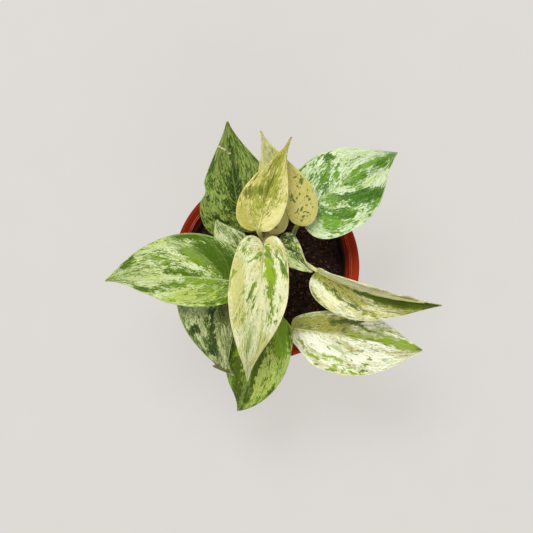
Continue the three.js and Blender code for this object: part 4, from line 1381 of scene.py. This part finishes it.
def pot_material():
    """Mottled plastic with scuffs and soil marks. Its left side is darkened with painted shade and its
    right side lightened with painted light, and the two beads inside the lip carry painted highlights.
    """
    material, tree = surface("pot_plastic", Specular_IOR_Level=0.09)
    place = object_place(tree)
    mottle = cloud(tree, place, 45, 3, 0.55)
    grain = cloud(tree, place, 1400, 2, 0.5)
    scuffs = cloud(tree, place, 210, 5, 0.7, 0.6)
    x = axes(tree, place)[0]
    # The two mottled tones are the left side in painted shade; the next tone is painted light on the
    # right side, blended in along x.
    skin = coat(tree, PAINT["pot_shade_dark"], PAINT["pot_shade_mottle"], 0.35, 0.65, mottle)
    skin = coat(tree, skin, PAINT["pot_lit_side"], -POT_SHADE_BLEND, POT_SHADE_BLEND, x)
    skin = coat(tree, skin, PAINT["pot_speck"], 0.6, 0.7, grain, end=0.35)
    skin = coat(tree, skin, PAINT["pot_scuff"], 0.64, 0.74, scuffs, end=0.25)
    # A pale pink painted highlight along the two beads inside the lip.
    skin = blend(tree, bead_highlights(tree, place, scuffs), skin, PAINT["pot_bead_highlight"])
    skin = blend(tree, soil_marks(tree, place, mottle, grain), skin, PAINT["pot_soiled"])
    rough = calc(tree, "MULTIPLY_ADD", calc(tree, "SUBTRACT", mottle, 0.5), 0.15, 0.34)
    uneven = relief(tree, grain, 0.00006)
    return set_looks(material, Base_Color=skin, Roughness=rough, Normal=uneven)


def make_pot():
    pot = turned("pot_body", pot_profile(), POT_SIDES)
    drills = []
    for i in range(DRAIN_HOLES):
        turn = 2 * math.pi * (i + 0.5) / DRAIN_HOLES
        drills.append(new_piece(
            bpy.ops.mesh.primitive_cylinder_add, "drill", vertices=DRAIN_SIDES,
            radius=DRAIN_RADIUS, depth=4 * WALL,
            location=(DRAIN_CIRCLE * math.cos(turn), DRAIN_CIRCLE * math.sin(turn), WALL / 2),
        ))
    drill = join(drills, "drill")
    modify(pot, "BOOLEAN", operation="DIFFERENCE", solver="EXACT", object=drill)
    delete(drill)
    pot.name = "pot_shell"
    pot.data.materials.append(pot_material())
    shade(pot, 35)
    hand_over(pot, "pot")


# Soil

def soil_height(x, y):
    mound = SOIL_MOUND * bump(np.hypot(x, y), SOIL_MOUND_SPREAD)
    broad = np.sin(310 * x + 1.3) * np.cos(270 * y - 0.4)
    fine = 0.6 * np.sin(530 * x - 610 * y)
    return SOIL_LEVEL + mound + SOIL_LUMP * (broad + fine)


def lumps(x, y):
    """Crumbly unevenness: clods and grains."""
    def layer(size, rough):
        return np.array([noise.turbulence((a / size, b / size, 3.7), 3, False, amplitude_scale=rough)
                         for a, b in zip(x, y)])
    return sum(height * layer(size, rough) for size, height, rough in SOIL_CLODS) - SOIL_SETTLE


def soil_edge(z):
    return wall_radius(z) - WALL - SOIL_GAP


def make_soil():
    rim = SOIL_LEVEL - SOIL_EDGE_DROP
    edge = soil_edge(rim)

    def place(along, across):
        turn = math.pi * across
        share = np.minimum(along / SOIL_TOP_SHARE, 1)
        radius = edge * (SOIL_CENTRE + (1 - SOIL_CENTRE) * share)
        x, y = radius * np.cos(turn), radius * np.sin(turn)
        fall = smooth(SOIL_FALL_START, 1, share)
        top = (soil_height(x, y) + lumps(x, y)) * (1 - fall) + rim * fall
        down = np.maximum((along - SOIL_TOP_SHARE) / (1 - SOIL_TOP_SHARE), 0)
        z = np.where(along > SOIL_TOP_SHARE, rim + (SOIL_BOTTOM - rim) * down, top)
        side = np.where(along > SOIL_TOP_SHARE, soil_edge(z) / np.maximum(radius, 1e-6), 1)
        return np.stack([x * side, y * side, z], axis=-1)

    soil = closed_sheet("soil_bed", SOIL_COLUMNS, SOIL_ROWS, place)
    shade(soil, 60)
    soil.data.materials.append(soil_material())
    hand_over(soil, "soil")


def soil_material():
    material, tree = surface("moist_peat", Roughness=0.9, Specular_IOR_Level=0.2)
    place = object_place(tree)
    clods = cloud(tree, place, 300, 4, 0.65)
    grains = cloud(tree, place, 950, 3, 0.65)
    flecks = cloud(tree, place, 640, 2, 0.5)
    earth = coat(tree, PAINT["earth"], PAINT["clod"], 0.35, 0.65, clods)
    earth = coat(tree, earth, PAINT["earth_grain"], 0.54, 0.66, grains, end=0.7)
    earth = coat(tree, earth, PAINT["bark"], 0.62, 0.7, flecks, end=0.6)
    uneven = relief(tree, calc(tree, "ADD", clods, grains), 0.0016)
    return set_looks(material, Base_Color=earth, Normal=uneven)


def scatter(draw):
    """A place on the soil, more or less even over its round top."""
    radius = (soil_edge(SOIL_LEVEL) - SCATTER_MARGIN) * math.sqrt(draw.random())
    turn = draw.uniform(0, 2 * math.pi)
    x, y = radius * math.cos(turn), radius * math.sin(turn)
    return Vector((x, y, float(soil_height(x, y))))


def copies(template, name, draw, material, count, sizes, sink):
    """Copies of one small piece, each turned, sized and laid on the soil by the draw."""
    made = []
    for _ in range(count):
        copy = template.copy()
        copy.data = template.data.copy()
        bpy.context.collection.objects.link(copy)
        copy.location = scatter(draw) - Vector((0, 0, sink))
        copy.rotation_euler = (draw.uniform(-0.5, 0.5), draw.uniform(-0.5, 0.5), draw.uniform(0, 6.28))
        size = draw.uniform(*sizes)
        copy.scale = (size, size * draw.uniform(0.6, 1), size * draw.uniform(0.5, 0.9))
        made.append(copy)
    delete(template)
    piece = join(made, name)
    choose(piece)
    bpy.ops.object.transform_apply(location=True, rotation=True, scale=True)
    piece.data.materials.append(material)
    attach(piece, "root")
    return piece


def make_crumbs():
    add = bpy.ops.mesh.primitive_ico_sphere_add
    crumb = new_piece(add, "crumb", subdivisions=2, radius=1)
    points = [Vector(p) for p in positions(crumb)]
    shift = Vector((5, 1, 2))
    place_points(crumb, [p * (0.75 + 0.5 * noise.noise(p * 1.3 + shift)) for p in points])
    draw = random.Random(SOIL_SEED)
    crumbs = copies(crumb, "soil_crumbs", draw, crumb_material(), **CRUMBS)
    shade(crumbs, 40)


def crumb_material():
    material, tree = surface("peat_crumb", Roughness=0.85, Specular_IOR_Level=0.2)
    place = object_place(tree)
    shades = cloud(tree, place, 420, 1)
    grains = cloud(tree, place, 1300, 3, 0.65)
    skin = coat(tree, PAINT["crumb"], PAINT["crumb_light"], 0.42, 0.62, shades)
    skin = coat(tree, skin, PAINT["crumb_speck"], 0.5, 0.65, grains, end=0.5)
    return set_looks(material, Base_Color=skin, Normal=relief(tree, grains, 0.0008))


def fibre_material():
    material, tree = surface("peat_fibre", Roughness=0.85)
    place = object_place(tree)
    skin = coat(tree, PAINT["fibre"], PAINT["fibre_light"], 0.4, 0.6, cloud(tree, place, 260, 2))
    uneven = relief(tree, cloud(tree, place, 1800, 2), 0.0004)
    return set_looks(material, Base_Color=skin, Normal=uneven)


def make_fibres():
    """Fine bent strands. Their template is one unit long."""
    def line(share):
        x = share - 0.5
        return np.stack([x, STRAND_BEND[0] * np.sin(3 * x), STRAND_BEND[1] * np.cos(3 * x)], axis=-1)

    def radius(share, turn):
        return 0.035 + 0.02 * np.sin(math.pi * share)

    strand = tube("strand", line, radius, STRAND_SIDES, STRAND_SIDES, steady((0, 0, 1.0)))
    draw = random.Random(SOIL_SEED + 1)
    copies(strand, "soil_fibres", draw, fibre_material(), **FIBRES)


# Floor, light and camera

def make_floor():
    floor = new_piece(bpy.ops.mesh.primitive_plane_add, "floor", size=FLOOR_SIZE)
    material, tree = surface("pale_floor", Roughness=0.9, Emission_Strength=FLOOR_GLOW)
    tint = cloud(tree, object_place(tree), 30, 3)
    glow = blend(tree, tint, PAINT["floor"], PAINT["floor_light"])
    set_looks(material, Base_Color=blend(tree, tint, *FLOOR_PAINT), Emission_Color=glow)
    floor.data.materials.append(material)


def area_light(name, place, size, power, tone):
    turn = (Vector(LIGHT_AIM) - Vector(place)).to_track_quat("-Z", "Y").to_euler()
    light = new_piece(bpy.ops.object.light_add, name, type="AREA", location=place, rotation=turn)
    light.data.shape = "DISK"
    light.data.size = size
    light.data.energy = power
    light.data.color = tone
    light.visible_camera = False


def make_lights():
    for name, values in LIGHTS.items():
        area_light(name, **values)
    world = bpy.data.worlds.new("studio")
    world.use_nodes = True
    sky = world.node_tree.nodes["Background"]
    sky.inputs["Color"].default_value = SKY_TONE
    sky.inputs["Strength"].default_value = SKY_POWER
    bpy.context.scene.world = world
    bpy.context.scene.view_settings.view_transform = "Standard"


def make_camera():
    camera_data = bpy.data.cameras.new("camera")
    camera = bpy.data.objects.new("camera", camera_data)
    bpy.context.collection.objects.link(camera)
    camera.location = (0, 0, CAMERA_HEIGHT)
    camera_data.sensor_width = SENSOR
    camera_data.lens = SENSOR * (CAMERA_HEIGHT - POT_HEIGHT) / (IMAGE_PIXELS * PIXEL_AT_RIM)
    bpy.context.scene.camera = camera


make_camera()
make_lights()
make_floor()
make_pot()
make_soil()
make_crumbs()
make_fibres()
for number, (name, vine) in enumerate(VINES.items()):
    make_vine(name, vine, number)
for name, leaf in LEAVES.items():
    make_leaf(name, leaf, LOOKS[name], STROKES[name])
